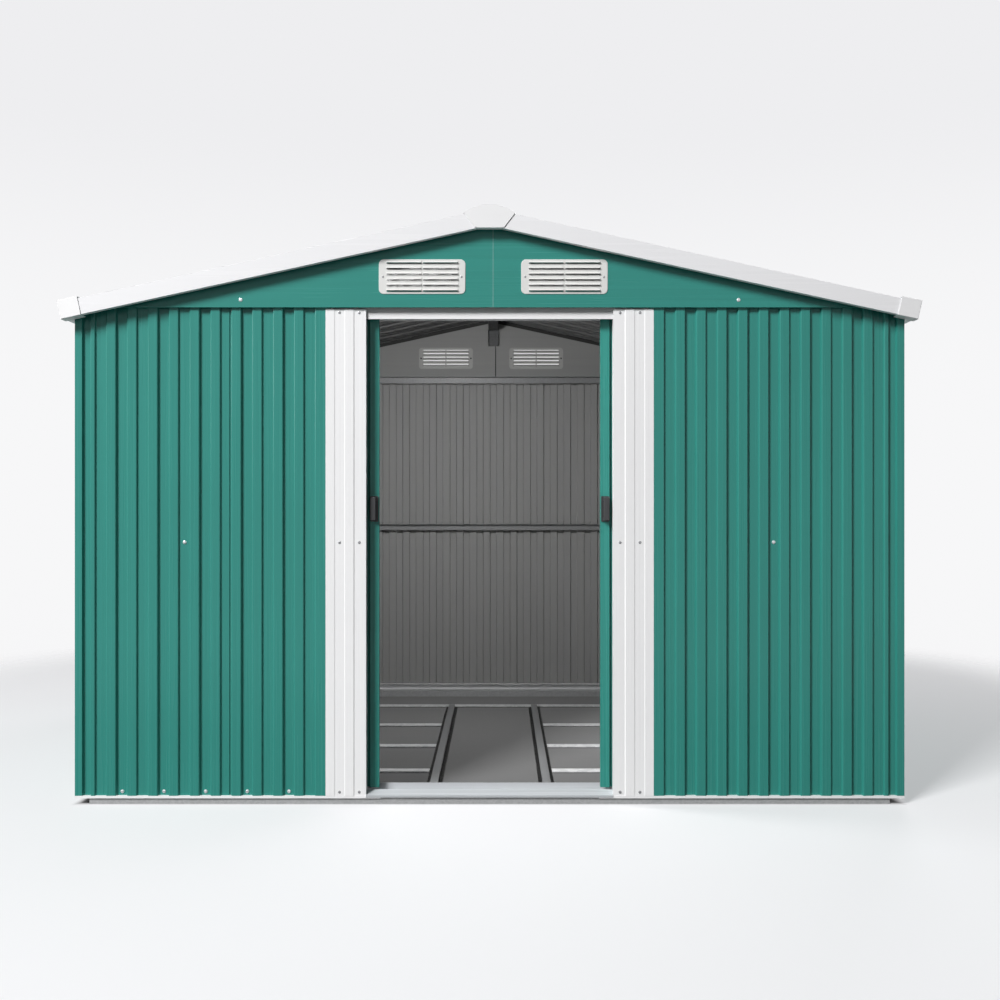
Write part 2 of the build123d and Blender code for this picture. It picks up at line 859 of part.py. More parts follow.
keep(eave_corner_caps, "eave_corner_caps")

with BuildPart() as ridge_end_caps:
    cap_top = apex + (trim_high + seat_gap) / slope_cos + cap_wall + end_cap_crown
    cap_foot = cap_top - end_cap_height
    knee = cap_top - end_cap_knee_drop
    shoulder = cap_top - end_cap_shoulder_drop
    face_plane = gable_plane(cap_face)
    top_rim = [
        (end_cap_shoulder, shoulder),
        (end_cap_knee, knee),
        (end_cap_top, cap_top),
        (-end_cap_top, cap_top),
        (-end_cap_knee, knee),
        (-end_cap_shoulder, shoulder),
    ]
    foot_edge = [(-end_cap_foot, cap_foot), (end_cap_foot, cap_foot)]
    extrude(outline_face(face_plane, foot_edge + top_rim), amount=-cap_wall)
    chamfer(ridge_end_caps.faces().sort_by(Axis.Y)[0].edges(), length=cap_bevel)
    extrude(strip_face(face_plane, top_rim, cap_wall), amount=-cap_depth)
    rim_half = fascia_start - seat_gap
    foot_rim = [(-rim_half, cap_foot), (rim_half, cap_foot)]
    extrude(strip_face(face_plane, foot_rim, cap_wall), amount=-end_cap_foot_rim)
    mirror(about=Plane.XZ)
keep(ridge_end_caps, "ridge_end_caps")

# Sliding doors, stored open: the left one is drawn and the right one mirrors it
leading_edge = -half_opening + door_reveal
trailing_edge = leading_edge - door_width
door_face = door_line - rib_depth
door_back = door_face + door_rib_depth + sheet
rail_end = leading_edge - sheet - seat_gap

with BuildPart() as left_door_leaf:
    stile_end = leading_edge - door_stile
    ribs = rib_row(trailing_edge, stile_end - pan_width)
    body = corrugation(trailing_edge, stile_end - rib_flank, ribs, pan_heights(ribs), door_rib_depth)
    edge = [
        (stile_end, door_rib_depth),
        (leading_edge, door_rib_depth),
        (leading_edge, door_rib_depth - door_edge),
    ]
    path = [(u, door_face + door_rib_depth - h) for u, h in body + edge]
    extrude(strip_face(front_plan(door_foot), path, sheet), amount=door_head - door_foot)
keep(left_door_leaf, "left_door_leaf")

with BuildPart() as left_door_rails:
    for low in (door_foot, door_head - door_rail_web):
        path = [
            (door_back + door_rail_flange, low + door_rail_web),
            (door_back, low + door_rail_web),
            (door_back, low),
            (door_back + door_rail_flange, low),
        ]
        face = strip_face(front_section(trailing_edge), path, rail_gauge)
        extrude(face, amount=rail_end - trailing_edge)
keep(left_door_rails, "left_door_rails")

with BuildPart() as left_door_handle:
    door_outside = gable_plane(half_depth - rib_depth - door_face)
    block_plane = door_outside.offset(handle_flange)
    handle_place = leading_edge - handle_step - handle_width / 2
    block_width = handle_width - handle_lip
    block_height = handle_height - 2 * handle_step
    with BuildSketch(door_outside):
        with Locations((handle_place, handle_height_centre)):
            flange = Rectangle(handle_width, handle_height)
        chamfer(flange.vertices(), length=handle_bevel)
    extrude(amount=handle_flange)
    with BuildSketch(block_plane):
        with Locations((handle_place - handle_lip / 2, handle_height_centre)):
            Rectangle(block_width, block_height)
    extrude(amount=handle_depth - handle_flange, taper=handle_draft)
    chamfer(left_door_handle.faces().sort_by(Axis.Y)[0].edges(), length=handle_bevel)
    with BuildSketch(block_plane):
        with Locations((handle_place - handle_lip / 2 + block_width / 2, handle_height_centre)):
            Rectangle(2 * grip_depth, block_height - 2 * grip_margin)
    extrude(amount=handle_depth - handle_flange - grip_wall, mode=Mode.SUBTRACT)
keep(left_door_handle, "left_door_handle")

glider_back = track_back - rail_gauge - glider_tip_gap
glider_low = door_head - door_rail_web + rail_gauge + seat_gap
finger_low = track_lip_height + rail_gauge + seat_gap
finger_high = finger_low + glider_rise
block_face = door_back + rail_gauge
block_low = door_foot + rail_gauge + seat_gap
glider_places = (trailing_edge + glider_inset, leading_edge - glider_inset - glider_width)

with BuildPart() as left_door_gliders:
    for place in glider_places:
        hanger = [
            (block_face, glider_low),
            (block_face + glider_grip, glider_low),
            (block_face + glider_grip, finger_low),
            (glider_back, finger_low),
            (glider_back, finger_high),
            (block_face, finger_high),
        ]
        extrude(outline_face(front_section(place), hanger), amount=glider_width)
        slot_near = guide_setback - rail_gauge - seat_gap
        slot_far = guide_setback + seat_gap
        slot_top = guide_top + seat_gap
        guide = [
            (block_face, block_low),
            (slot_near, block_low),
            (slot_near, slot_top),
            (slot_far, slot_top),
            (slot_far, block_low),
            (slot_far + guide_wall, block_low),
            (slot_far + guide_wall, block_low + guide_block_height),
            (block_face, block_low + guide_block_height),
        ]
        extrude(outline_face(front_section(place), guide), amount=glider_width)
keep(left_door_gliders, "left_door_gliders")

with BuildPart() as right_door_leaf:
    mirror(left_door_leaf.part, about=Plane.YZ)
keep(right_door_leaf, "right_door_leaf")

with BuildPart() as right_door_rails:
    mirror(left_door_rails.part, about=Plane.YZ)
keep(right_door_rails, "right_door_rails")

with BuildPart() as right_door_handle:
    mirror(left_door_handle.part, about=Plane.YZ)
keep(right_door_handle, "right_door_handle")

with BuildPart() as right_door_gliders:
    mirror(left_door_gliders.part, about=Plane.YZ)
keep(right_door_gliders, "right_door_gliders")
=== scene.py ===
"""Finishes, screws and studio of a garden shed of ribbed steel sheet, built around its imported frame."""
import logging
import math
from dataclasses import dataclass, field, replace
from enum import Enum
from functools import cache
from typing import Mapping, Sequence

import bpy
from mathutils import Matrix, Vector


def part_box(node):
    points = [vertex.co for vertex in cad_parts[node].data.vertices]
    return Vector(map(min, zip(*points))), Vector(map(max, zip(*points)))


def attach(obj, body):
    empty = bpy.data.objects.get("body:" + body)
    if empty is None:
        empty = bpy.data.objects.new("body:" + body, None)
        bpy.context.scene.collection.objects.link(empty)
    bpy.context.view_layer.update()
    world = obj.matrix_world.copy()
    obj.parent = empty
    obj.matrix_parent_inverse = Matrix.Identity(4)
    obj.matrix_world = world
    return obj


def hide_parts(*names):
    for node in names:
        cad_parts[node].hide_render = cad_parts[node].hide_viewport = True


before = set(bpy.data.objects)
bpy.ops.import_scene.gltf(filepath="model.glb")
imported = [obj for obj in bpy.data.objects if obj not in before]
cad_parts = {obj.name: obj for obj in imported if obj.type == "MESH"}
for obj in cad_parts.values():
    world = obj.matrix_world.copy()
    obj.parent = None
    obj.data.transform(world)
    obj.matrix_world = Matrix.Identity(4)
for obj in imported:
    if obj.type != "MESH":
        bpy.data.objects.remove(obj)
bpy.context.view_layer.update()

MM = 0.001
log = logging.getLogger("shed")

Colour = tuple[float, float, float, float]
BLACK: Colour = (0.0, 0.0, 0.0, 1.0)
Socket = bpy.types.NodeSocket
Values = dict[str, object]

# Finer layers of a noise on top of its first
PLAIN = 1.0
SOFT = 2.0
RICH = 3.0

# Settings of a Map Range node that eases
SMOOTH = {"interpolation_type": "SMOOTHSTEP"}

# Sockets of a Mix node that blends colours
MIX_FACTOR = 0
MIX_FIRST = 6
MIX_SECOND = 7
MIX_RESULT = 2


def srgb(red: int, green: int, blue: int) -> Colour:
    """Turn a screen colour into the linear colour that shaders take.

    Args:
        red: Red from 0 to 255.
        green: Green from 0 to 255.
        blue: Blue from 0 to 255.

    Returns:
        The linear colour with full alpha.
    """
    def linear(value: int) -> float:
        """Undo the screen's curve for one channel."""
        share = value / 255
        return share / 12.92 if share <= 0.04045 else ((share + 0.055) / 1.055) ** 2.4

    return linear(red), linear(green), linear(blue), 1.0


def shade(colour: Colour, factor: float) -> Colour:
    """Multiply a colour by a number, leaving its alpha."""
    return colour[0] * factor, colour[1] * factor, colour[2] * factor, colour[3]


class Facing(Enum):
    """Side of a sheet that carries its outer coat."""

    FRONT = (0.0, -1.0, 0.0)
    BACK = (0.0, 1.0, 0.0)
    LEFT = (-1.0, 0.0, 0.0)
    RIGHT = (1.0, 0.0, 0.0)
    TOP = (0.0, 0.0, 1.0)
    BOTH = (0.0, 0.0, 0.0)


class Roll(Enum):
    """Direction in which a sheet was rolled, as how fast its streaks change along X, Y and Z."""

    UPRIGHT = (75.0, 75.0, 0.9)
    ACROSS = (0.9, 75.0, 75.0)
    LENGTHWISE = (75.0, 0.9, 75.0)


class Side(Enum):
    """Left or right half of the shed, seen from the front, as the sign of X."""

    LEFT = -1
    RIGHT = 1

    @property
    def word(self) -> str:
        """Name of the side as it stands in node names."""
        return self.name.lower()


class Field:
    """A number that varies over a surface, held as the socket that carries it."""

    def __init__(self, graph: "Graph", socket: Socket) -> None:
        """Wrap a socket of a graph."""
        self.graph = graph
        self.socket = socket

    def _math(self, operation: str, *terms: "Term") -> "Field":
        """Result of a Math node on numbers or fields."""
        node = self.graph.node("ShaderNodeMath", {"operation": operation}, dict(enumerate(terms)))
        return Field(self.graph, node.outputs[0])

    def __add__(self, other: "Term") -> "Field":
        """Add."""
        return self._math("ADD", self, other)

    def __radd__(self, other: "Term") -> "Field":
        """Add to a number."""
        return self._math("ADD", other, self)

    def __sub__(self, other: "Term") -> "Field":
        """Subtract."""
        return self._math("SUBTRACT", self, other)

    def __rsub__(self, other: "Term") -> "Field":
        """Subtract from a number."""
        return self._math("SUBTRACT", other, self)

    def __mul__(self, other: "Term") -> "Field":
        """Multiply."""
        return self._math("MULTIPLY", self, other)

    def __rmul__(self, other: "Term") -> "Field":
        """Multiply a number."""
        return self._math("MULTIPLY", other, self)

    def __lt__(self, other: "Term") -> "Field":
        """One where this is less, and zero elsewhere."""
        return self._math("LESS_THAN", self, other)

    def __or__(self, other: "Term") -> "Field":
        """The larger of the two."""
        return self._math("MAXIMUM", self, other)

    def __abs__(self) -> "Field":
        """The size without the sign."""
        return self._math("ABSOLUTE", self)

    def near(self, value: float, reach: float) -> "Field":
        """One within a reach of a value, and zero elsewhere."""
        return self._math("COMPARE", self, value, reach)

    def ease(self, low: float, high: float) -> "Field":
        """Rise smoothly from zero at low to one at high."""
        node = self.graph.node("ShaderNodeMapRange", SMOOTH, {0: self, 1: low, 2: high})
        return Field(self.graph, node.outputs[0])


Term = Field | float


class Graph:
    """Node tree of one material or of the world."""

    def __init__(self, tree: bpy.types.NodeTree) -> None:
        """Take over an emptied node tree."""
        self.tree = tree
        tree.nodes.clear()

    def node(self, kind: str, settings: Mapping[str, object] | None = None,
             sockets: Mapping[str | int, object] | None = None) -> bpy.types.Node:
        """Add a node.

        Args:
            kind: The node's type.
            settings: Its settings, set first.
            sockets: Values, fields or sockets for its inputs, by name or number.

        Returns:
            The node.
        """
        made = self.tree.nodes.new(kind)
        for name, value in (settings or {}).items():
            setattr(made, name, value)
        for key, value in (sockets or {}).items():
            self.feed(made.inputs[key], value)
        return made

    def feed(self, socket: Socket, value: object) -> None:
        """Link a field or socket to an input, or set the input's own value.

        Args:
            socket: The input.
            value: The field, socket or value.
        """
        if isinstance(value, Field):
            self.tree.links.new(value.socket, socket)
        elif isinstance(value, Socket):
            self.tree.links.new(value, socket)
        else:
            socket.default_value = value

    def place(self) -> Socket:
        """Position on the object, in metres."""
        return self.node("ShaderNodeTexCoord").outputs["Object"]

    def vector(self, operation: str, *terms: object) -> bpy.types.Node:
        """Vector Math node on positions or directions."""
        return self.node("ShaderNodeVectorMath", {"operation": operation}, dict(enumerate(terms)))

    def stretch(self, place: Socket, rates: Sequence[float]) -> Socket:
        """Position multiplied by a rate along each axis."""
        return self.vector("MULTIPLY", place, rates).outputs[0]

    def noise(self, place: Socket, scale: float, detail: float) -> Field:
        """Smooth noise from zero to one, with so many bumps a metre and finer layers on top."""
        node = self.node("ShaderNodeTexNoise", None, {"Vector": place, "Scale": scale, "Detail": detail})
        return Field(self, node.outputs["Fac"])

    def mix(self, factor: Term, first: object, second: object) -> Socket:
        """Blend of two colours: the first where the factor is zero, and the second where it is one."""
        sockets = {MIX_FACTOR: factor, MIX_FIRST: first, MIX_SECOND: second}
        return self.node("ShaderNodeMix", {"data_type": "RGBA"}, sockets).outputs[MIX_RESULT]

    def bump(self, height: Field, strength: float, depth: float) -> Socket:
        """Normal of a surface with bumps of a depth in metres, of which a share shows."""
        sockets = {"Height": height, "Strength": strength, "Distance": depth}
        return self.node("ShaderNodeBump", None, sockets).outputs["Normal"]

    def axis(self, place: Socket, name: str) -> Field:
        """One coordinate of a position."""
        return Field(self, self.node("ShaderNodeSeparateXYZ", None, {"Vector": place}).outputs[name])

    def slant(self, direction: Sequence[float]) -> Field:
        """How far the surface faces a direction, from minus one to one."""
        normal = self.node("ShaderNodeNewGeometry").outputs["Normal"]
        return Field(self, self.vector("DOT_PRODUCT", normal, direction).outputs["Value"])


@dataclass(frozen=True)
class Finish:
    """A material with a name of its own."""

    name: str

    def paint(self, graph: Graph) -> Values:
        """Values of the shader."""
        return {}

    def surface(self, graph: Graph) -> Socket:
        """Shader with those values."""
        return graph.node("ShaderNodeBsdfPrincipled", None, self.paint(graph)).outputs["BSDF"]

    @cache
    def material(self) -> bpy.types.Material:
        """Make the material, once for all the pieces that have it.

        Returns:
            The material, with its nodes.
        """
        made = bpy.data.materials.new(self.name)
        made.use_nodes = True
        graph = Graph(made.node_tree)
        graph.node("ShaderNodeOutputMaterial", None, {"Surface": self.surface(graph)})
        log.info("finish %s", self.name)
        return made


@dataclass(frozen=True)
class CoatedSheet(Finish):
    """Coil-coated steel sheet: a satin colour outside and a plain primer inside."""

    colour: Colour = srgb(52, 137, 127)
    lining: Colour = srgb(160, 160, 159)
    facing: Facing = Facing.BOTH
    roll: Roll = Roll.UPRIGHT
    streak_depth: float = 0.16
    cloud_depth: float = 0.10
    cloud_scale: float = 2.6
    peel_scale: float = 850.0
    peel_share: float = 0.25
    wave_rate: float = 0.25
    relief: float = 0.22
    relief_depth: float = 0.4 * MM
    gloss: float = 0.3
    roughness: tuple[float, float, float] = (0.18, 0.12, 0.06)
    primer_dullness: float = 0.42
    primer_tones: tuple[float, float] = (0.94, 1.04)
    primer_turn: float = -0.05

    def paint(self, graph: Graph) -> Values:
        """Streaks along the roll, slow clouds of tone and a fine orange peel.

        Args:
            graph: The material's nodes.

        Returns:
            The shader's values.
        """
        place = graph.place()
        along_roll = graph.stretch(place, self.roll.value)
        streak = graph.noise(along_roll, 1.0, RICH)
        cloud = graph.noise(place, self.cloud_scale, SOFT)
        tone = streak * self.streak_depth + cloud * self.cloud_depth
        spread = self.streak_depth + self.cloud_depth
        dark = shade(self.colour, 1 - spread / 2)
        light = shade(self.colour, 1 + spread / 2)
        colour = graph.mix(tone * (1 / spread), dark, light)
        least, from_streak, from_cloud = self.roughness
        roughness = least + streak * from_streak + cloud * from_cloud
        if self.facing is not Facing.BOTH:
            inside = graph.slant(self.facing.value) < self.primer_turn
            dull, bright = self.primer_tones
            inner = graph.mix(streak, shade(self.lining, dull), shade(self.lining, bright))
            colour = graph.mix(inside, colour, inner)
            roughness = roughness + inside * self.primer_dullness
        peel = graph.noise(place, self.peel_scale, PLAIN)
        wave = graph.noise(along_roll, self.wave_rate, PLAIN)
        return {
            "Base Color": colour,
            "Roughness": roughness,
            "Specular IOR Level": self.gloss,
            "Normal": graph.bump(peel * self.peel_share + wave, self.relief, self.relief_depth),
        }


@dataclass(frozen=True)
class GableSheet(CoatedSheet):
    """Flat gable sheet, with a painted highlight along the edge where one half laps the other, a dark joint
    inside, and painted shade under the roof.

    Attributes:
        seam: Place of the outer half's edge across the shed. The inner half ends as far on the other side.
        edge_half: Half the width of the painted highlight.
        edge_share: How much of the painted highlight shows.
        joint_half: Half the width of the dark joint.
        edge: Colour of the painted highlight along the lap's edge.
        foot: Height up to which the folded foot is coated all round; above it, faces turned sideways get
            painted shade.
        crest: Height of the sheets' top in the middle.
        fall: How far the top drops, to one across.
        seal: Width of the band of painted shade along the top, inside.
        shadow: Tone of the painted shade and of the dark joint against the lining.
        turn_reach: How far a face may turn and still count as facing one way.
    """

    seam: float = 12 * MM
    edge_half: float = 0.9 * MM
    edge_share: float = 0.75
    joint_half: float = 2.5 * MM
    edge: Colour = srgb(152, 196, 189)
    foot: float = 1614 * MM
    crest: float = 1905 * MM
    fall: float = 0.2175
    seal: float = 14 * MM
    shadow: float = 0.12
    turn_reach: float = 0.5

    def paint(self, graph: Graph) -> Values:
        """Add the painted highlight along the lap's edge, the dark joint, and painted shade on the flanges
        and along the top under the roof.

        Args:
            graph: The material's nodes.

        Returns:
            The shader's values.
        """
        values = super().paint(graph)
        place = graph.place()
        across = graph.axis(place, "X")
        height = graph.axis(place, "Z")
        turned = graph.slant(self.facing.value)
        # Painted highlight: a paler stripe on the outer face along the outer half's edge
        edge_highlight = across.near(self.seam, self.edge_half) * turned.near(1.0, self.turn_reach) * self.edge_share
        joint = across.near(-self.seam, self.joint_half)
        # Painted shade: a band along the top of the inner side, under the roof
        seal = 1 - (height + abs(across) * self.fall < self.crest - self.seal)
        inside = (joint | seal) * turned.near(-1.0, self.turn_reach)
        # Painted shade on faces turned sideways above the foot, such as the flange under the roof
        shaded_flange = turned.near(0.0, self.turn_reach) * (1 - (height < self.foot))
        shade_and_joint = graph.mix(shaded_flange | inside, values["Base Color"], shade(self.lining, self.shadow))
        values["Base Color"] = graph.mix(edge_highlight, shade_and_joint, self.edge)
        return values


@dataclass(frozen=True)
class Galvanised(Finish):
    """Hot-dipped zinc with a frosty spangle and dull streaks, with painted shade up to a height along the
    foot.
    """

    dark: Colour = srgb(128, 130, 132)
    light: Colour = srgb(178, 180, 181)
    roll: Roll = Roll.ACROSS
    spangle_scale: float = 170.0
    spangle_share: float = 0.4
    streak_rate: float = 0.6
    metal: float = 0.55
    roughness: tuple[float, float, float] = (0.30, 0.16, 0.08)
    relief: float = 0.12
    relief_depth: float = 0.2 * MM
    # Height up to which the zinc is painted nearly black as shade along the foot, and the colour of that
    # painted shade
    grime_height: float = 0.0
    grime: Colour = srgb(38, 38, 38)

    def paint(self, graph: Graph) -> Values:
        """Crystals of zinc, each with its own tone and gloss.

        Args:
            graph: The material's nodes.

        Returns:
            The shader's values.
        """
        place = graph.place()
        sockets = {"Vector": place, "Scale": self.spangle_scale, "Randomness": 1.0}
        cells = graph.node("ShaderNodeTexVoronoi", {"feature": "F1"}, sockets)
        parts = graph.node("ShaderNodeSeparateColor", None, {"Color": cells.outputs["Color"]})
        crystal = Field(graph, parts.outputs[0])
        streak = graph.noise(graph.stretch(place, self.roll.value), self.streak_rate, RICH)
        tone = crystal * self.spangle_share + streak * (1 - self.spangle_share)
        colour = graph.mix(tone, self.dark, self.light)
        # Painted shade: nearly black below the height, standing in for the shadow along the foot
        if self.grime_height:
            colour = graph.mix(graph.axis(place, "Z") < self.grime_height, colour, self.grime)
        least, from_crystal, from_streak = self.roughness
        return {
            "Base Color": colour,
            "Metallic": self.metal,
            "Roughness": least + crystal * from_crystal + streak * from_streak,
            "Normal": graph.bump(crystal + streak, self.relief, self.relief_depth),
        }


@dataclass(frozen=True)
class MouldedPlastic(Finish):
    """Injection-moulded plastic with a fine spark-eroded grain."""

    colour: Colour = srgb(241, 241, 242)
    grain_scale: float = 1400.0
    grain_share: float = 0.3
    grain_dullness: float = 0.14
    flow_scale: float = 18.0
    flow_depth: float = 0.05
    gloss: float = 0.45
    gloss_loss: float = 0.42
    relief: float = 0.25
    relief_depth: float = 0.15 * MM

    def paint(self, graph: Graph) -> Values:
        """Grain over the slow tone of the melt's flow.

        Args:
            graph: The material's nodes.

        Returns:
            The shader's values.
        """
        place = graph.place()
        grain = graph.noise(place, self.grain_scale, SOFT)
        flow = graph.noise(place, self.flow_scale, SOFT)
        tone = flow * (1 - self.grain_share) + grain * self.grain_share
        return {
            "Base Color": graph.mix(tone, shade(self.colour, 1 - self.flow_depth), self.colour),
            "Specular IOR Level": self.gloss,
            "Roughness": self.gloss_loss + grain * self.grain_dullness,
            "Normal": graph.bump(grain, self.relief, self.relief_depth),
        }


@dataclass(frozen=True)
class VentPlastic(MouldedPlastic):
    """White plastic of the vents, painted darker on the inner side as shade, with a painted glow of daylight
    under the hoods inside.
    """

    facing: Facing = Facing.FRONT
    # Painted shade of the inner side, and the painted glow of daylight under the hoods
    shaded: Colour = srgb(160, 160, 158)
    glow: Colour = srgb(120, 120, 117)
    inner_turn: float = -0.3

    def paint(self, graph: Graph) -> Values:
        """Add painted shade on the inner side and a painted glow of daylight under the hoods.

        Args:
            graph: The material's nodes.

        Returns:
            The shader's values.
        """
        values = super().paint(graph)
        inside = graph.slant(self.facing.value) < self.inner_turn
        # Painted glow: inner faces that face down shine as if daylight came through the slots
        painted_glow_mask = inside * (graph.slant(Facing.TOP.value) < self.inner_turn)
        values["Base Color"] = graph.mix(inside, values["Base Color"], self.shaded)
        values["Emission Strength"] = 1.0
        values["Emission Color"] = graph.mix(painted_glow_mask, BLACK, self.glow)
        return values


@dataclass(frozen=True)
class ZincHead(Finish):
    """Zinc plating of the screw heads."""

    colour: Colour = srgb(226, 228, 230)
    stain_scale: float = 420.0
    stain_tone: float = 0.82
    metal: float = 0.7
    roughness: tuple[float, float] = (0.26, 0.2)

    def paint(self, graph: Graph) -> Values:
        """Small stains in the plating.

        Args:
            graph: The material's nodes.

        Returns:
            The shader's values.
        """
        stain = graph.noise(graph.place(), self.stain_scale, RICH)
        least, from_stain = self.roughness
        return {
            "Base Color": graph.mix(stain, shade(self.colour, self.stain_tone), self.colour),
            "Metallic": self.metal,
            "Roughness": least + stain * from_stain,
        }


@dataclass(frozen=True)
class StudioFloor(Finish):
    """Pale floor that keeps the shadow and fades into the backdrop away from the shed."""

    seen: Colour = srgb(193, 193, 194)
    seen_behind: Colour = srgb(191, 191, 192)
    behind_reach: tuple[float, float] = (-1.6, 0.3)
    glow: Colour = srgb(156, 156, 158)
    lit: Colour = srgb(150, 150, 150)
    # Ground inside the walls, painted darker than the floor outside as shade: this tone at the doorstep,
    # rising to the indoors tone at the back
    doorstep: Colour = srgb(114, 114, 114)
    indoors: Colour = srgb(146, 146, 146)
    indoors_reach: tuple[float, float] = (-0.85, 0.5)
    half_span: tuple[float, float, float] = (1.34, 0.92, 0.0)
    sill: float = 0.02
    fade: tuple[float, float] = (1.25, 2.3)
    grain_scale: float = 30.0
    roughness: tuple[float, float] = (0.85, 0.1)
    gloss: float = 0.1

    def past_walls(self, graph: Graph, place: Socket) -> Socket:
        """How far a position lies past the walls along each axis."""
        folded = graph.vector("ABSOLUTE", place).outputs[0]
        return graph.vector("SUBTRACT", folded, self.half_span).outputs[0]

    def paint(self, graph: Graph) -> Values:
        """Painted shade on the ground indoors, and the pale floor that the camera sees outdoors.

        Args:
            graph: The material's nodes.

        Returns:
            The shader's values.
        """
        place = graph.place()
        along = graph.axis(place, "Y")
        past = self.past_walls(graph, place)
        outdoors = (graph.axis(past, "X") | graph.axis(past, "Y")).ease(-self.sill, self.sill)
        # Painted shade: the ground inside the walls, darkest at the doorstep and lighter towards the back
        ground = graph.mix(along.ease(*self.indoors_reach), self.doorstep, self.indoors)
        around = graph.mix(along.ease(*self.behind_reach), self.seen, self.seen_behind)
        shown = graph.mix(outdoors, ground, around)
        camera = Field(graph, graph.node("ShaderNodeLightPath").outputs["Is Camera Ray"])
        grain = graph.noise(place, self.grain_scale, RICH)
        least, from_grain = self.roughness
        return {
            "Base Color": graph.mix(camera, self.lit, shown),
            "Emission Color": graph.mix(camera * outdoors, BLACK, self.glow),
            "Emission Strength": 1.0,
            "Roughness": least + grain * from_grain,
            "Specular IOR Level": self.gloss,
        }

    def surface(self, graph: Graph) -> Socket:
        """Fade the floor out away from the shed.

        Args:
            graph: The material's nodes.

        Returns:
            The faded shader.
        """
        painted = super().surface(graph)
        bare = graph.node("ShaderNodeBsdfTransparent").outputs[0]
        outside = graph.vector("MAXIMUM", self.past_walls(graph, graph.place()), (0, 0, 0)).outputs[0]
        fade = Field(graph, graph.vector("LENGTH", outside).outputs["Value"]).ease(*self.fade)
        return graph.node("ShaderNodeMixShader", None, {0: fade, 1: painted, 2: bare}).outputs[0]


WHITE_TRIM = CoatedSheet("white_trim", colour=srgb(245, 245, 246), streak_depth=0.03, cloud_depth=0.03)
# Roof trims: the same white a little darker, as painted shade against the stronger light they get up high
ROOF_TRIM = CoatedSheet("roof_trim", colour=srgb(240, 240, 242), streak_depth=0.03, cloud_depth=0.03)
# Threshold and door track: the white painted darker as shade on these upward-facing pieces
SHADE_PAINTED_SILL = CoatedSheet("trodden_white", colour=srgb(184, 188, 191), roll=Roll.ACROSS)
SHADE_PAINTED_TRACK = CoatedSheet("worn_track", colour=srgb(197, 200, 203), roll=Roll.ACROSS)
ZINC = Galvanised("galvanised", dark=srgb(162, 164, 165), light=srgb(196, 197, 198), metal=0.25)
# Channels and side bars: painted shade up to 5 mm along their foot
WEATHERED = Galvanised("weathered", dark=srgb(128, 129, 131), light=srgb(170, 171, 172), metal=0.3,
                       grime_height=5 * MM)
DUSTY = Galvanised("dusty", dark=srgb(132, 133, 134), light=srgb(160, 161, 162), metal=0.0)
# Ridge beam, brackets and purlins: zinc painted near black as shade under the roof
SHADE_PAINTED_ZINC = Galvanised("blackened", dark=srgb(52, 53, 54), light=srgb(80, 81, 82), metal=0.3)
# Cross bars: frosted spangle in a near-white tone that is a painted reflection of their bright tops, with
# painted shade along the foot
REFLECTION_PAINTED_ZINC = Galvanised("frosted", dark=srgb(190, 192, 194), light=srgb(252, 252, 252), spangle_scale=60.0,
                     metal=0.0, grime_height=2.6 * MM)
PALE_PLASTIC = MouldedPlastic("white_moulding")
DARK_PLASTIC = MouldedPlastic("dark_moulding", colour=srgb(51, 52, 54), gloss_loss=0.48)
NYLON = MouldedPlastic("grey_nylon", colour=srgb(150, 150, 150), gloss_loss=0.4)
LINER_PLASTIC = MouldedPlastic("grey_liner", colour=srgb(184, 184, 182), gloss_loss=0.5)
ZINC_HEAD = ZincHead("zinc_screw")
DULL_HEAD = ZincHead("dull_screw", colour=srgb(165, 166, 168))
DARK_HEAD = ZincHead("dark_screw", colour=srgb(40, 40, 41))


def rolled(finish: CoatedSheet | Galvanised, roll: Roll) -> Finish:
    """The same finish on a piece that was rolled in a direction of its own."""
    return replace(finish, name=f"{finish.name}_{roll.name.lower()}", roll=roll)


def green(facing: Facing, roll: Roll) -> CoatedSheet:
    """Green sheet that faces one way."""
    return CoatedSheet(f"green_sheet_{facing.name.lower()}_{roll.name.lower()}", facing=facing, roll=roll)


def gable(facing: Facing, seam: float) -> GableSheet:
    """Green gable sheet that faces one way."""
    return GableSheet(f"green_gable_{facing.name.lower()}", facing=facing, roll=Roll.ACROSS, seam=seam)


# Directions in the part's frame
ACROSS = Vector((1, 0, 0))
LENGTHWISE = Vector((0, 1, 0))
UP = Vector((0, 0, 1))
FRONT = Vector(Facing.FRONT.value)
BACK = Vector(Facing.BACK.value)

# Decimals to which places on a sheet are compared
DIGITS = 4


def middle_of(node: str) -> Vector:
    """Middle of a node's box."""
    low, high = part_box(node)
    return (low + high) / 2


@dataclass
class Shape:
    """Points and faces of a piece that is being made."""

    points: list[Vector] = field(default_factory=list)
    faces: list[tuple[int, ...]] = field(default_factory=list)

    def piece(self, name: str, body: str, slot: str, finish: Finish) -> bpy.types.Object:
        """Make the piece.

        Args:
            name: Its name.
            body: The body that it rides on.
            slot: The record's material slot; not used.
            finish: Its finish.

        Returns:
            The piece.
        """
        mesh = bpy.data.meshes.new(name)
        mesh.from_pydata(self.points, [], self.faces)
        mesh.materials.append(finish.material())
        piece = bpy.data.objects.new(name, mesh)
        bpy.context.scene.collection.objects.link(piece)
        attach(piece, body)
        log.info("piece %s", name)
        return piece


@dataclass(frozen=True)
class Strip:
    """A flat stretch of a ribbed sheet: a pan, or the top of a rib.

    Attributes:
        centre: Its middle, across the ribs.
        width: Its width.
        level: How far out it lies.
        depth: How far it lies below the rib tops.
    """

    centre: float
    width: float
    level: float
    depth: float


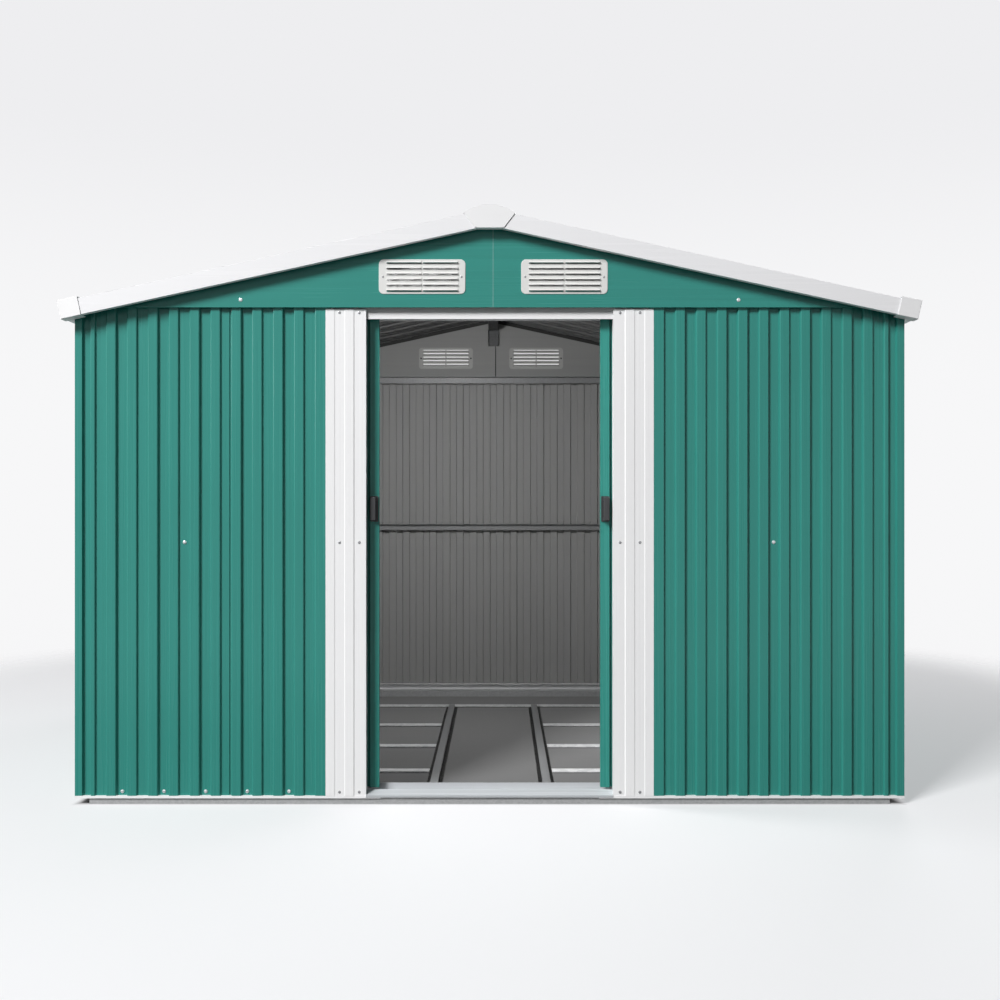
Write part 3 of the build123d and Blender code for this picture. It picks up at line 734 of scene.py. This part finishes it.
@dataclass(frozen=True)
class RibbedSheet:
    """Ribs of one sheet, read from its node.

    Attributes:
        node: The node's name.
        along: Direction across the ribs.
        outward: Direction that the sheet faces.
        length: Direction in which the ribs run.
        flatness: How far a flat face looks outward, at least.
        deep: Depth that a deep pan exceeds.
        full_pan: Least and greatest width of a pan that no other sheet covers.
    """

    node: str
    along: Vector
    outward: Vector
    length: Vector
    flatness: float = 0.999
    deep: float = 9.0 * MM
    full_pan: tuple[float, float] = (28.0 * MM, 33.0 * MM)

    def strips(self) -> list[Strip]:
        """Flat stretches of the sheet's outer side, in order.

        Returns:
            The stretches, each with its depth below the rib tops.
        """
        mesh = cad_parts[self.node].data
        found = set()
        for face in mesh.polygons:
            if face.normal.dot(self.outward) < self.flatness:
                continue
            corners = [mesh.vertices[index].co for index in face.vertices]
            reach = [corner.dot(self.along) for corner in corners]
            level = corners[0].dot(self.outward)
            found.add((round(min(reach), DIGITS), round(max(reach), DIGITS), round(level, DIGITS)))
        top = max(level for low, high, level in found)
        return [Strip((low + high) / 2, high - low, level, top - level) for low, high, level in sorted(found)]

    def pans(self) -> list[Strip]:
        """Deep pans that touch the rails and that no other sheet covers."""
        narrow, wide = self.full_pan
        return [strip for strip in self.strips() if strip.depth > self.deep and narrow < strip.width < wide]

    def seat(self, strip: Strip, place: float) -> Vector:
        """Point on a strip at a place along the ribs."""
        return self.along * strip.centre + self.outward * strip.level + self.length * place


@dataclass
class ScrewHeads:
    """Screw heads of one sub-assembly, joined in one piece.

    Attributes:
        name: The piece's name.
        body: The body that it rides on.
        slot: The record's material slot.
        scale: Size of the heads against the standard one.
        finish: Their finish.
        seats: Places of the heads, each with the direction that it faces.
        sides: Facets round a head.
        rings: Radius and height in millimetres of the rings of a head, from the washer up to the socket.
    """

    name: str
    body: str
    slot: str = "galvanised_steel"
    scale: float = 1.0
    finish: ZincHead = ZINC_HEAD
    seats: list[tuple[Vector, Vector]] = field(default_factory=list)
    sides: int = 12
    rings: tuple[tuple[float, float], ...] = (
        (6.0, 0.0), (6.0, 0.7), (5.0, 1.0), (4.8, 1.8), (4.1, 2.7), (2.8, 3.2), (2.1, 3.2), (1.7, 2.0),
    )

    def add(self, point: Vector, outward: Vector) -> None:
        """Seat a head at a point, facing outward."""
        self.seats.append((point, outward))

    def add_row(self, sheet: RibbedSheet, strips: Sequence[Strip], place: float) -> None:
        """Seat a head on each of some strips of a ribbed sheet."""
        for strip in strips:
            self.add(sheet.seat(strip, place), sheet.outward)

    def build(self) -> None:
        """Make the heads as one mesh that rides on the body."""
        shape = Shape()
        for point, outward in self.seats:
            self._head(point, outward, shape)
        shape.piece(self.name, self.body, self.slot, self.finish)

    def _head(self, point: Vector, outward: Vector, shape: Shape) -> None:
        """Turn one head's profile about its axis.

        Args:
            point: Where it sits.
            outward: The direction that it faces.
            shape: The piece that it joins.
        """
        turn = outward.to_track_quat("Z", "Y")
        start = len(shape.points)
        for radius, height in self.rings:
            for number in range(self.sides):
                angle = 2 * math.pi * number / self.sides
                spoke = Vector((radius * math.cos(angle), radius * math.sin(angle), height))
                shape.points.append(point + turn @ spoke * (self.scale * MM))
        last = start + (len(self.rings) - 1) * self.sides
        for base in range(start, last, self.sides):
            above = base + self.sides
            for number in range(self.sides):
                after = (number + 1) % self.sides
                shape.faces.append((base + number, base + after, above + after, above + number))
        shape.faces.append(tuple(range(last, last + self.sides)))
        shape.faces.append(tuple(range(start + self.sides - 1, start - 1, -1)))


@dataclass
class JambFacing:
    """Folded facing beside the doorway: two bands that stand a little proud, and a return into the opening.

    Attributes:
        side: The side of the doorway.
        folds: Its folds, as the distance from the outer edge and the depth below the bands.
        gauge: Thickness of the sheet.
        head_gap: Gap between the return and the header.
        corners: Points at a fold: outside and inside, each at the foot and at the head.
    """

    side: Side
    folds: tuple[tuple[float, float], ...] = (
        (0.0, 0.0), (27.5 * MM, 0.0), (31 * MM, 1.2 * MM), (60 * MM, 1.2 * MM), (63.5 * MM, 0.0),
        (90.5 * MM, 0.0), (94 * MM, 2 * MM),
    )
    gauge: float = 0.6 * MM
    head_gap: float = 0.3 * MM
    corners: int = 4

    @property
    def node(self) -> str:
        """Node that the facing stands for."""
        return f"{self.side.word}_jamb_trim"

    def seat(self, inset: float, height: float) -> Vector:
        """Point on the facing at a distance from the opening.

        Args:
            inset: The distance from the opening.
            height: Its height.

        Returns:
            The point on the front.
        """
        low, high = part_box(self.node)
        across = high.x - low.x - inset
        depth = [level for start, level in self.folds if start <= across][-1]
        opening = high.x if self.side is Side.LEFT else low.x
        return Vector((opening + self.side.value * inset, low.y + depth, height))

    def build(self) -> None:
        """Make the facing as one mesh that rides on the shed, and hide its node."""
        low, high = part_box(self.node)
        outer = low.x if self.side is Side.LEFT else high.x
        inward = -self.side.value
        width = high.x - low.x
        pan = self.folds[-1][1]
        front = []
        for across, depth in (*self.folds, (width, pan)):
            place = outer + inward * across
            front.append(((place, low.y + depth), (place, low.y + depth + self.gauge)))
        edge = outer + inward * width
        ends = (low.y + pan + self.gauge, high.y)
        leg = [((edge, place), (edge - inward * self.gauge, place)) for place in ends]
        shape = Shape()
        self._sheet(front, low.z, high.z, shape)
        self._sheet(leg, low.z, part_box("front_top_rail")[0].z - self.head_gap, shape)
        name = f"{self.side.word}_jamb_facing"
        piece = shape.piece(name, "shed", "white_trim", rolled(WHITE_TRIM, Roll.UPRIGHT))
        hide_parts(self.node)

    def _sheet(self, line: Sequence[tuple[tuple[float, float], ...]], foot: float, head: float,
               shape: Shape) -> None:
        """Add a bent sheet between two heights.

        Args:
            line: Its folds, each as a point on the outer and one on the inner side.
            foot: Height of its foot.
            head: Height of its head.
            shape: The piece that it joins.
        """
        start = len(shape.points)
        for sides in line:
            shape.points.extend(Vector((*spot, height)) for spot in sides for height in (foot, head))
        last = start + self.corners * (len(line) - 1)
        made = [(start + 2, start, start + 1, start + 3), (last, last + 2, last + 3, last + 1)]
        for near in range(start, last, self.corners):
            far = near + self.corners
            made.append((near, far, far + 1, near + 1))
            made.append((far + 2, near + 2, near + 3, far + 3))
            made.append((near + 2, far + 2, far, near))
            made.append((near + 1, far + 1, far + 3, near + 3))
        shape.faces.extend(made if self.side is Side.LEFT else [face[::-1] for face in made])


@dataclass
class VentLiners:
    """Plain rounded frames round the vents' holes, on the inner side of the gables.

    Attributes:
        size: Width and height of a frame.
        corner: Radius of its corners.
        window: Width and height of its window.
        window_corner: Radius of the window's corners.
        thickness: Thickness of a frame.
        gauge: Thickness of the gable sheet that it lies on.
        steps: Points of a rounded corner.
    """

    size: tuple[float, float] = (274 * MM, 108 * MM)
    corner: float = 14 * MM
    window: tuple[float, float] = (238 * MM, 86 * MM)
    window_corner: float = 3.5 * MM
    thickness: float = 2 * MM
    gauge: float = 0.6 * MM
    steps: int = 5

    def loop(self, size: tuple[float, float], corner: float) -> list[tuple[float, float]]:
        """Points round a rectangle with rounded corners, as (across, up).

        Args:
            size: Width and height of the rectangle.
            corner: Radius of its corners.

        Returns:
            The points, with as many at each corner.
        """
        points = []
        for number in range(4 * self.steps):
            quarter, step = divmod(number, self.steps)
            angle = (quarter + step / (self.steps - 1)) * math.pi / 2
            right = 1 if quarter in (0, 3) else -1
            upper = 1 if quarter in (0, 1) else -1
            across = right * (size[0] / 2 - corner) + corner * math.cos(angle)
            up = upper * (size[1] / 2 - corner) + corner * math.sin(angle)
            points.append((across, up))
        return points

    def build(self) -> None:
        """Make the four frames as one mesh that rides on the shed."""
        shape = Shape()
        for side in Side:
            middle = middle_of(f"front_{side.word}_vent")
            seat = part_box(f"front_{side.word}_gable")[0].y + self.gauge
            for turn in (1, -1):
                self._frame(Vector((turn * middle.x, turn * seat, middle.z)), turn, shape)
        shape.piece("vent_liners", "shed", "white_plastic", LINER_PLASTIC)

    def _frame(self, centre: Vector, turn: int, shape: Shape) -> None:
        """Add one frame: loops of points, with a ring of faces from each loop to the next.

        Args:
            centre: Middle of the frame, on the gable sheet.
            turn: One at the front, and minus one at the back.
            shape: The piece that it joins.
        """
        start = len(shape.points)
        outer = self.loop(self.size, self.corner)
        inner = self.loop(self.window, self.window_corner)
        loops = ((outer, 0), (outer, self.thickness), (inner, self.thickness), (inner, 0))
        for loop, depth in loops:
            shape.points.extend(centre + Vector((turn * across, turn * depth, up)) for across, up in loop)
        count = len(outer)
        for ring in range(len(loops)):
            near = start + ring * count
            far = start + (ring + 1) % len(loops) * count
            for number in range(count):
                after = (number + 1) % count
                shape.faces.append((near + number, far + number, far + after, near + after))


class SubAssembly:
    """A group of nodes that are dressed together."""

    def coat(self, finish: Finish, *nodes: str) -> None:
        """Give a finish to some nodes.

        Args:
            finish: The finish.
            nodes: Names of the nodes.
        """
        for name in nodes:
            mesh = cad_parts[name].data
            mesh.materials.clear()
            mesh.materials.append(finish.material())
            log.info("node %s in %s", name, finish.name)


@dataclass
class FloorFrame(SubAssembly):
    """Galvanised bars that lie on the ground inside the walls.

    Attributes:
        lengthwise: Nodes of the bars that run from front to back.
    """

    lengthwise: tuple[str, ...] = ("floor_side_bars", "floor_channels")

    def dress(self) -> None:
        """Give the bars their finish."""
        self.coat(rolled(ZINC, Roll.ACROSS), "floor_end_bars")
        # The cross bars carry a painted reflection on top and painted shade at the foot
        self.coat(rolled(REFLECTION_PAINTED_ZINC, Roll.ACROSS), "floor_cross_bars")
        self.coat(rolled(WEATHERED, Roll.LENGTHWISE), *self.lengthwise)


@dataclass
class WallShell(SubAssembly):
    """Ribbed walls, their corner angles and the rails behind them.

    Attributes:
        foot_rise: Height of the screws in the bottom rails over the sheets' foot.
        head_rise: Height of the screws in the side walls' top rails over those rails' foot.
        front_mid: Places of the two screws at mid height on the front.
        corner_inset: Distance of the corner angles' screws from the corner.
        mid_first: Pans left out before the first screw at mid height.
        mid_step: Pans from one screw at mid height to the next.
        head_step: Pans from one screw at the side walls' top to the next.
    """

    foot_rise: float = 12 * MM
    head_rise: float = 15 * MM
    front_mid: tuple[float, float] = (-989 * MM, 918 * MM)
    corner_inset: float = 12 * MM
    mid_first: int = 1
    mid_step: int = 4
    head_step: int = 2

    def sheets(self) -> dict[str, RibbedSheet]:
        """The walls' ribbed sheets by node name.

        Returns:
            The sheets.
        """
        walls = {
            "front_left_wall": (ACROSS, FRONT),
            "front_right_wall": (ACROSS, FRONT),
            "back_wall": (ACROSS, BACK),
            "left_wall": (LENGTHWISE, -ACROSS),
            "right_wall": (LENGTHWISE, ACROSS),
        }
        return {name: RibbedSheet(name, along, outward, UP) for name, (along, outward) in walls.items()}

    def build(self) -> None:
        """Make the screws of the walls and of the corner angles."""
        screws = ScrewHeads("wall_screws", "shed")
        sheets = self.sheets()
        foot_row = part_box("back_wall")[0].z + self.foot_rise
        mid_row = middle_of("back_mid_rail").z
        head_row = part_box("side_top_rails")[0].z + self.head_rise
        for name in ("front_left_wall", "back_wall", "left_wall", "right_wall"):
            screws.add_row(sheets[name], sheets[name].pans(), foot_row)
        for name in ("back_wall", "left_wall", "right_wall"):
            screws.add_row(sheets[name], sheets[name].pans()[self.mid_first::self.mid_step], mid_row)
        for name in ("left_wall", "right_wall"):
            screws.add_row(sheets[name], sheets[name].pans()[::self.head_step], head_row)
        for name, place in zip(("front_left_wall", "front_right_wall"), self.front_mid):
            nearest = min(sheets[name].strips(), key=lambda strip: abs(strip.centre - place))
            screws.add_row(sheets[name], [nearest], mid_row)
        low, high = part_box("corner_angles")
        for x, side in ((low.x, -ACROSS), (high.x, ACROSS)):
            for y, end in ((low.y, FRONT), (high.y, BACK)):
                for height in (foot_row, mid_row):
                    screws.add(Vector((x, y - end.y * self.corner_inset, height)), side)
        screws.build()

    def dress(self) -> None:
        """Give the sheets, angles and rails their finish."""
        self.coat(green(Facing.FRONT, Roll.UPRIGHT), "front_left_wall", "front_right_wall")
        self.coat(green(Facing.BACK, Roll.UPRIGHT), "back_wall")
        self.coat(green(Facing.LEFT, Roll.UPRIGHT), "left_wall")
        self.coat(green(Facing.RIGHT, Roll.UPRIGHT), "right_wall")
        self.coat(green(Facing.BOTH, Roll.UPRIGHT), "corner_angles")
        self.coat(rolled(WHITE_TRIM, Roll.ACROSS), "front_bottom_rails", "back_bottom_rail")
        self.coat(rolled(WHITE_TRIM, Roll.LENGTHWISE), "side_bottom_rails")
        self.coat(rolled(DUSTY, Roll.ACROSS), "front_mid_rails", "back_mid_rail", "back_top_rail")
        self.coat(rolled(DUSTY, Roll.LENGTHWISE), "side_mid_rails", "side_top_rails")


@dataclass
class Doorway(SubAssembly):
    """White trims round the doorway.

    Attributes:
        end_inset: Distance of the end screws on the jamb facings from their ends.
        insets: Distances of the two screws on each facing from the opening.
        head_scale: Size of those screws against the standard one.
    """

    end_inset: float = 12 * MM
    insets: tuple[float, float] = (22 * MM, 86 * MM)
    head_scale: float = 0.8

    def build(self) -> None:
        """Make the jamb facings and their screws."""
        screws = ScrewHeads("jamb_screws", "shed", scale=self.head_scale, finish=DULL_HEAD)
        for side in Side:
            facing = JambFacing(side)
            facing.build()
            low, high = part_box(facing.node)
            for height in (low.z + self.end_inset, middle_of("front_mid_rails").z, high.z - self.end_inset):
                for inset in self.insets:
                    screws.add(facing.seat(inset, height), FRONT)
        screws.build()

    def dress(self) -> None:
        """Give the header, the track and the threshold their finish."""
        self.coat(rolled(WHITE_TRIM, Roll.ACROSS), "front_top_rail")
        # The door track and threshold take their darker whites as painted shade
        self.coat(SHADE_PAINTED_TRACK, "door_bottom_track")
        self.coat(SHADE_PAINTED_SILL, "door_threshold")


@dataclass
class GableEnds(SubAssembly):
    """Flat gable sheets with their louvred vents, front and back.

    Attributes:
        rows: Places of the screws on each half, as the distance across and the height over the foot.
        vent_inset: Distance of a vent's screws from its ends.
        plate: Thickness of a vent's plate.
        liner_rise: Distance from a vent's plate to its liner's inner side.
        vent_scale: Size of the vents' screws against the standard one.
        liner_scale: Size of the liners' screws against the standard one.
        seam: Place of the lap of the two front halves, across the shed.
        vent_colour: Colour of the vents' outer side.
    """

    rows: tuple[tuple[float, float], ...] = ((805 * MM, 24 * MM), (805 * MM, 96 * MM))
    vent_inset: float = 13 * MM
    plate: float = 2 * MM
    liner_rise: float = 4.6 * MM
    vent_scale: float = 0.6
    liner_scale: float = 0.7
    seam: float = 11.2 * MM
    vent_colour: Colour = srgb(225, 225, 223)

    def build(self) -> None:
        """Make the screws of the gables and the vents, and the vents' liners."""
        screws = ScrewHeads("gable_screws", "shed")
        for name in ("front_left_gable", "front_right_gable", "back_left_gable", "back_right_gable"):
            low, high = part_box(name)
            front = name.startswith("front")
            face = low.y if front else high.y
            side = Side.LEFT if "left" in name else Side.RIGHT
            for across, rise in self.rows:
                screws.add(Vector((side.value * across, face, low.z + rise)), FRONT if front else BACK)
        screws.build()
        small = ScrewHeads("vent_screws", "shed", scale=self.vent_scale, finish=DULL_HEAD)
        inner = ScrewHeads("liner_screws", "shed", scale=self.liner_scale, finish=DARK_HEAD)
        for side in Side:
            low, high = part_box(f"front_{side.word}_vent")
            middle = (low.z + high.z) / 2
            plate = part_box(f"front_{side.word}_gable")[0].y - self.plate
            for place in (low.x + self.vent_inset, high.x - self.vent_inset):
                small.add(Vector((place, plate, middle)), FRONT)
                small.add(Vector((-place, -plate, middle)), BACK)
                inner.add(Vector((place, plate + self.liner_rise, middle)), BACK)
                inner.add(Vector((-place, -plate - self.liner_rise, middle)), FRONT)
        small.build()
        inner.build()
        VentLiners().build()

    def dress(self) -> None:
        """Give the sheets and vents their finish."""
        self.coat(gable(Facing.FRONT, self.seam), "front_left_gable", "front_right_gable")
        self.coat(gable(Facing.BACK, -self.seam), "back_left_gable", "back_right_gable")
        front_finish = VentPlastic("front_vent", colour=self.vent_colour)
        back_finish = VentPlastic("back_vent", colour=self.vent_colour, facing=Facing.BACK)
        self.coat(front_finish, "front_left_vent", "front_right_vent")
        self.coat(back_finish, "back_vents")


@dataclass
class Roof(SubAssembly):
    """Ribbed roof with its ridge cap, white trims, moulded caps and the beams below.

    Attributes:
        rise: Height of the ridge over the walls' top.
        half_span: Half the width over the walls.
        rows: Distances of the screw rows from the ridge, across the shed.
        head_scale: Size of the screws against the standard one.
        lining: Colour of the roof sheets' underside, painted darker than the walls' primer as shade under the
            roof.
    """

    rise: float = 292.5 * MM
    half_span: float = 1345 * MM
    rows: tuple[float, ...] = (785 * MM, 1320 * MM)
    head_scale: float = 1.15
    # Painted shade: the roof's primer is darker than the walls'
    lining: Colour = srgb(114, 114, 114)

    def slope(self, side: Side) -> RibbedSheet:
        """Ribs of the roof sheets on one side.

        Args:
            side: The side of the roof.

        Returns:
            The ribs, which run down the slope.
        """
        length = Vector((side.value * self.half_span, 0, -self.rise)).normalized()
        outward = Vector((side.value * self.rise, 0, self.half_span)).normalized()
        return RibbedSheet(f"{side.word}_roof_sheet", LENGTHWISE, outward, length)

    def build(self) -> None:
        """Make the screws of the roof sheets."""
        screws = ScrewHeads("roof_screws", "shed", scale=self.head_scale)
        for side in Side:
            sheet = self.slope(side)
            pans = sheet.pans()
            for row in self.rows:
                place = (side.value * row - sheet.outward.x * pans[0].level) / sheet.length.x
                screws.add_row(sheet, pans, place)
        screws.build()

    def dress(self) -> None:
        """Give the sheets, trims, caps and beams their finish."""
        sheets = CoatedSheet("green_roof", facing=Facing.TOP, roll=Roll.ACROSS, lining=self.lining)
        self.coat(sheets, "left_roof_sheet", "right_roof_sheet")
        edges = ("ridge_cap", "left_eave_trim", "right_eave_trim")
        self.coat(rolled(ROOF_TRIM, Roll.LENGTHWISE), *edges)
        fascias = ("front_left_fascia", "front_right_fascia", "back_left_fascia", "back_right_fascia")
        self.coat(rolled(ROOF_TRIM, Roll.ACROSS), *fascias)
        self.coat(PALE_PLASTIC, "eave_corner_caps", "ridge_end_caps")
        # The beams under the roof take zinc painted dark as shade
        self.coat(rolled(SHADE_PAINTED_ZINC, Roll.LENGTHWISE), "ridge_beam", "ridge_brackets", "purlins")


@dataclass
class SlidingDoor(SubAssembly):
    """One sliding door with its rails, handle and gliders.

    Attributes:
        side: The side where the door is stored.
        rail_row: Distance of the two screw rows from the leaf's foot and from its head.
        pan_depth: Depth that a deep pan of the leaf exceeds.
    """

    side: Side
    rail_row: float = 20 * MM
    pan_depth: float = 7 * MM

    @property
    def body(self) -> str:
        """Body that the door's pieces ride on."""
        return f"{self.side.word}_door"

    def build(self) -> None:
        """Make the screws that hold the leaf to its rails."""
        leaf = f"{self.body}_leaf"
        sheet = RibbedSheet(leaf, ACROSS, FRONT, UP, deep=self.pan_depth)
        low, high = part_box(leaf)
        screws = ScrewHeads(f"{self.body}_screws", self.body)
        for height in (low.z + self.rail_row, high.z - self.rail_row):
            screws.add_row(sheet, sheet.pans(), height)
        screws.build()

    def dress(self) -> None:
        """Give the leaf, rails, handle and gliders their finish."""
        self.coat(green(Facing.FRONT, Roll.UPRIGHT), f"{self.body}_leaf")
        self.coat(rolled(ZINC, Roll.ACROSS), f"{self.body}_rails")
        self.coat(DARK_PLASTIC, f"{self.body}_handle")
        self.coat(NYLON, f"{self.body}_gliders")


@dataclass(frozen=True)
class Lamp:
    """A square soft light.

    Attributes:
        name: The lamp's name.
        place: Where it stands.
        size: Length of its side.
        watts: Its power.
        target: Point that it points at.
    """

    name: str
    place: tuple[float, float, float]
    size: float
    watts: float
    target: tuple[float, float, float] = (0.0, -0.9, 0.9)

    def hang(self) -> None:
        """Put the lamp in the scene, pointing at its target."""
        light = bpy.data.lights.new(self.name, "AREA")
        light.size = self.size
        light.energy = self.watts
        lamp = bpy.data.objects.new(self.name, light)
        lamp.location = self.place
        lamp.visible_camera = False
        lamp.rotation_euler = (Vector(self.target) - lamp.location).to_track_quat("-Z", "Y").to_euler()
        bpy.context.scene.collection.objects.link(lamp)
        log.info("lamp %s", self.name)


@dataclass
class Studio:
    """Floor, backdrop, lamps and camera.

    Attributes:
        floor_half: Half the side of the floor.
        backdrop: Colour of the backdrop high up.
        glow: Its colour at eye level.
        fall: Square of the rise, to one, at which the glow is gone.
        ambient: Level of the light from all round.
        lamps: The lamps.
        eye: Place of the camera.
        lens: Its focal length in millimetres.
    """

    floor_half: float = 9.0
    backdrop: Colour = srgb(238, 238, 240)
    glow: Colour = srgb(247, 247, 248)
    fall: float = 0.12
    ambient: float = 0.06
    lamps: tuple[Lamp, ...] = (
        Lamp("key", (-6.2, -8.1, 8.5), 3.6, 1840.0),
        Lamp("side_strip", (-6.0, -2.2, 2.2), 1.2, 32.0, (-0.9, -0.93, 1.4)),
        Lamp("back_fill", (4.0, 6.6, 2.2), 2.4, 230.0, (0.0, 0.93, 1.0)),
        Lamp("right_fill", (7.2, 1.0, 1.7), 3.0, 110.0, (1.345, 0.0, 1.0)),
        Lamp("indoors", (-0.3, -0.7, 1.68), 0.25, 14.0, (0.05, 0.6, 0.0)),
    )
    eye: tuple[float, float, float] = (33.6 * MM, -4193 * MM, 987.3 * MM)
    lens: float = 36.23

    def lay_floor(self) -> None:
        """Lay the pale floor under the shed."""
        half = self.floor_half
        corners = [(-half, -half, 0), (half, -half, 0), (half, half, 0), (-half, half, 0)]
        mesh = bpy.data.meshes.new("floor")
        mesh.from_pydata(corners, [], [(0, 1, 2, 3)])
        mesh.materials.append(StudioFloor("studio_floor").material())
        floor = bpy.data.objects.new("floor", mesh)
        bpy.context.scene.collection.objects.link(floor)

    def light(self) -> None:
        """Hang the lamps and light the backdrop."""
        for lamp in self.lamps:
            lamp.hang()
        world = bpy.data.worlds.new("backdrop")
        world.use_nodes = True
        bpy.context.scene.world = world
        graph = Graph(world.node_tree)
        path = graph.node("ShaderNodeLightPath")
        seen = Field(graph, path.outputs["Is Camera Ray"])
        seen = seen | Field(graph, path.outputs["Is Glossy Ray"])
        seen = seen | Field(graph, path.outputs["Is Transmission Ray"])
        ambient = (self.ambient, self.ambient, self.ambient, 1.0)
        height = graph.axis(graph.node("ShaderNodeTexCoord").outputs["Generated"], "Z")
        level = (height * height).ease(0.0, self.fall)
        backdrop = graph.mix(level, self.glow, self.backdrop)
        sky = graph.node("ShaderNodeBackground", None, {"Color": graph.mix(seen, ambient, backdrop)})
        graph.node("ShaderNodeOutputWorld", None, {"Surface": sky.outputs[0]})

    def aim_camera(self) -> None:
        """Set up the camera, level and square to the front."""
        camera = bpy.data.objects.new("camera", bpy.data.cameras.new("camera"))
        camera.data.lens = self.lens
        camera.location = self.eye
        camera.rotation_euler = (math.pi / 2, 0, 0)
        bpy.context.scene.collection.objects.link(camera)
        bpy.context.scene.camera = camera
        bpy.context.scene.view_settings.view_transform = "Standard"


def main() -> None:
    """Build and dress the shed, then set up the studio."""
    logging.basicConfig(level=logging.INFO, format="%(name)s: %(message)s")
    FloorFrame().dress()
    doors = [SlidingDoor(side) for side in Side]
    for part in (WallShell(), Doorway(), GableEnds(), Roof(), *doors):
        part.build()
        part.dress()
    studio = Studio()
    studio.lay_floor()
    studio.light()
    studio.aim_camera()


if __name__ == "__main__":
    main()
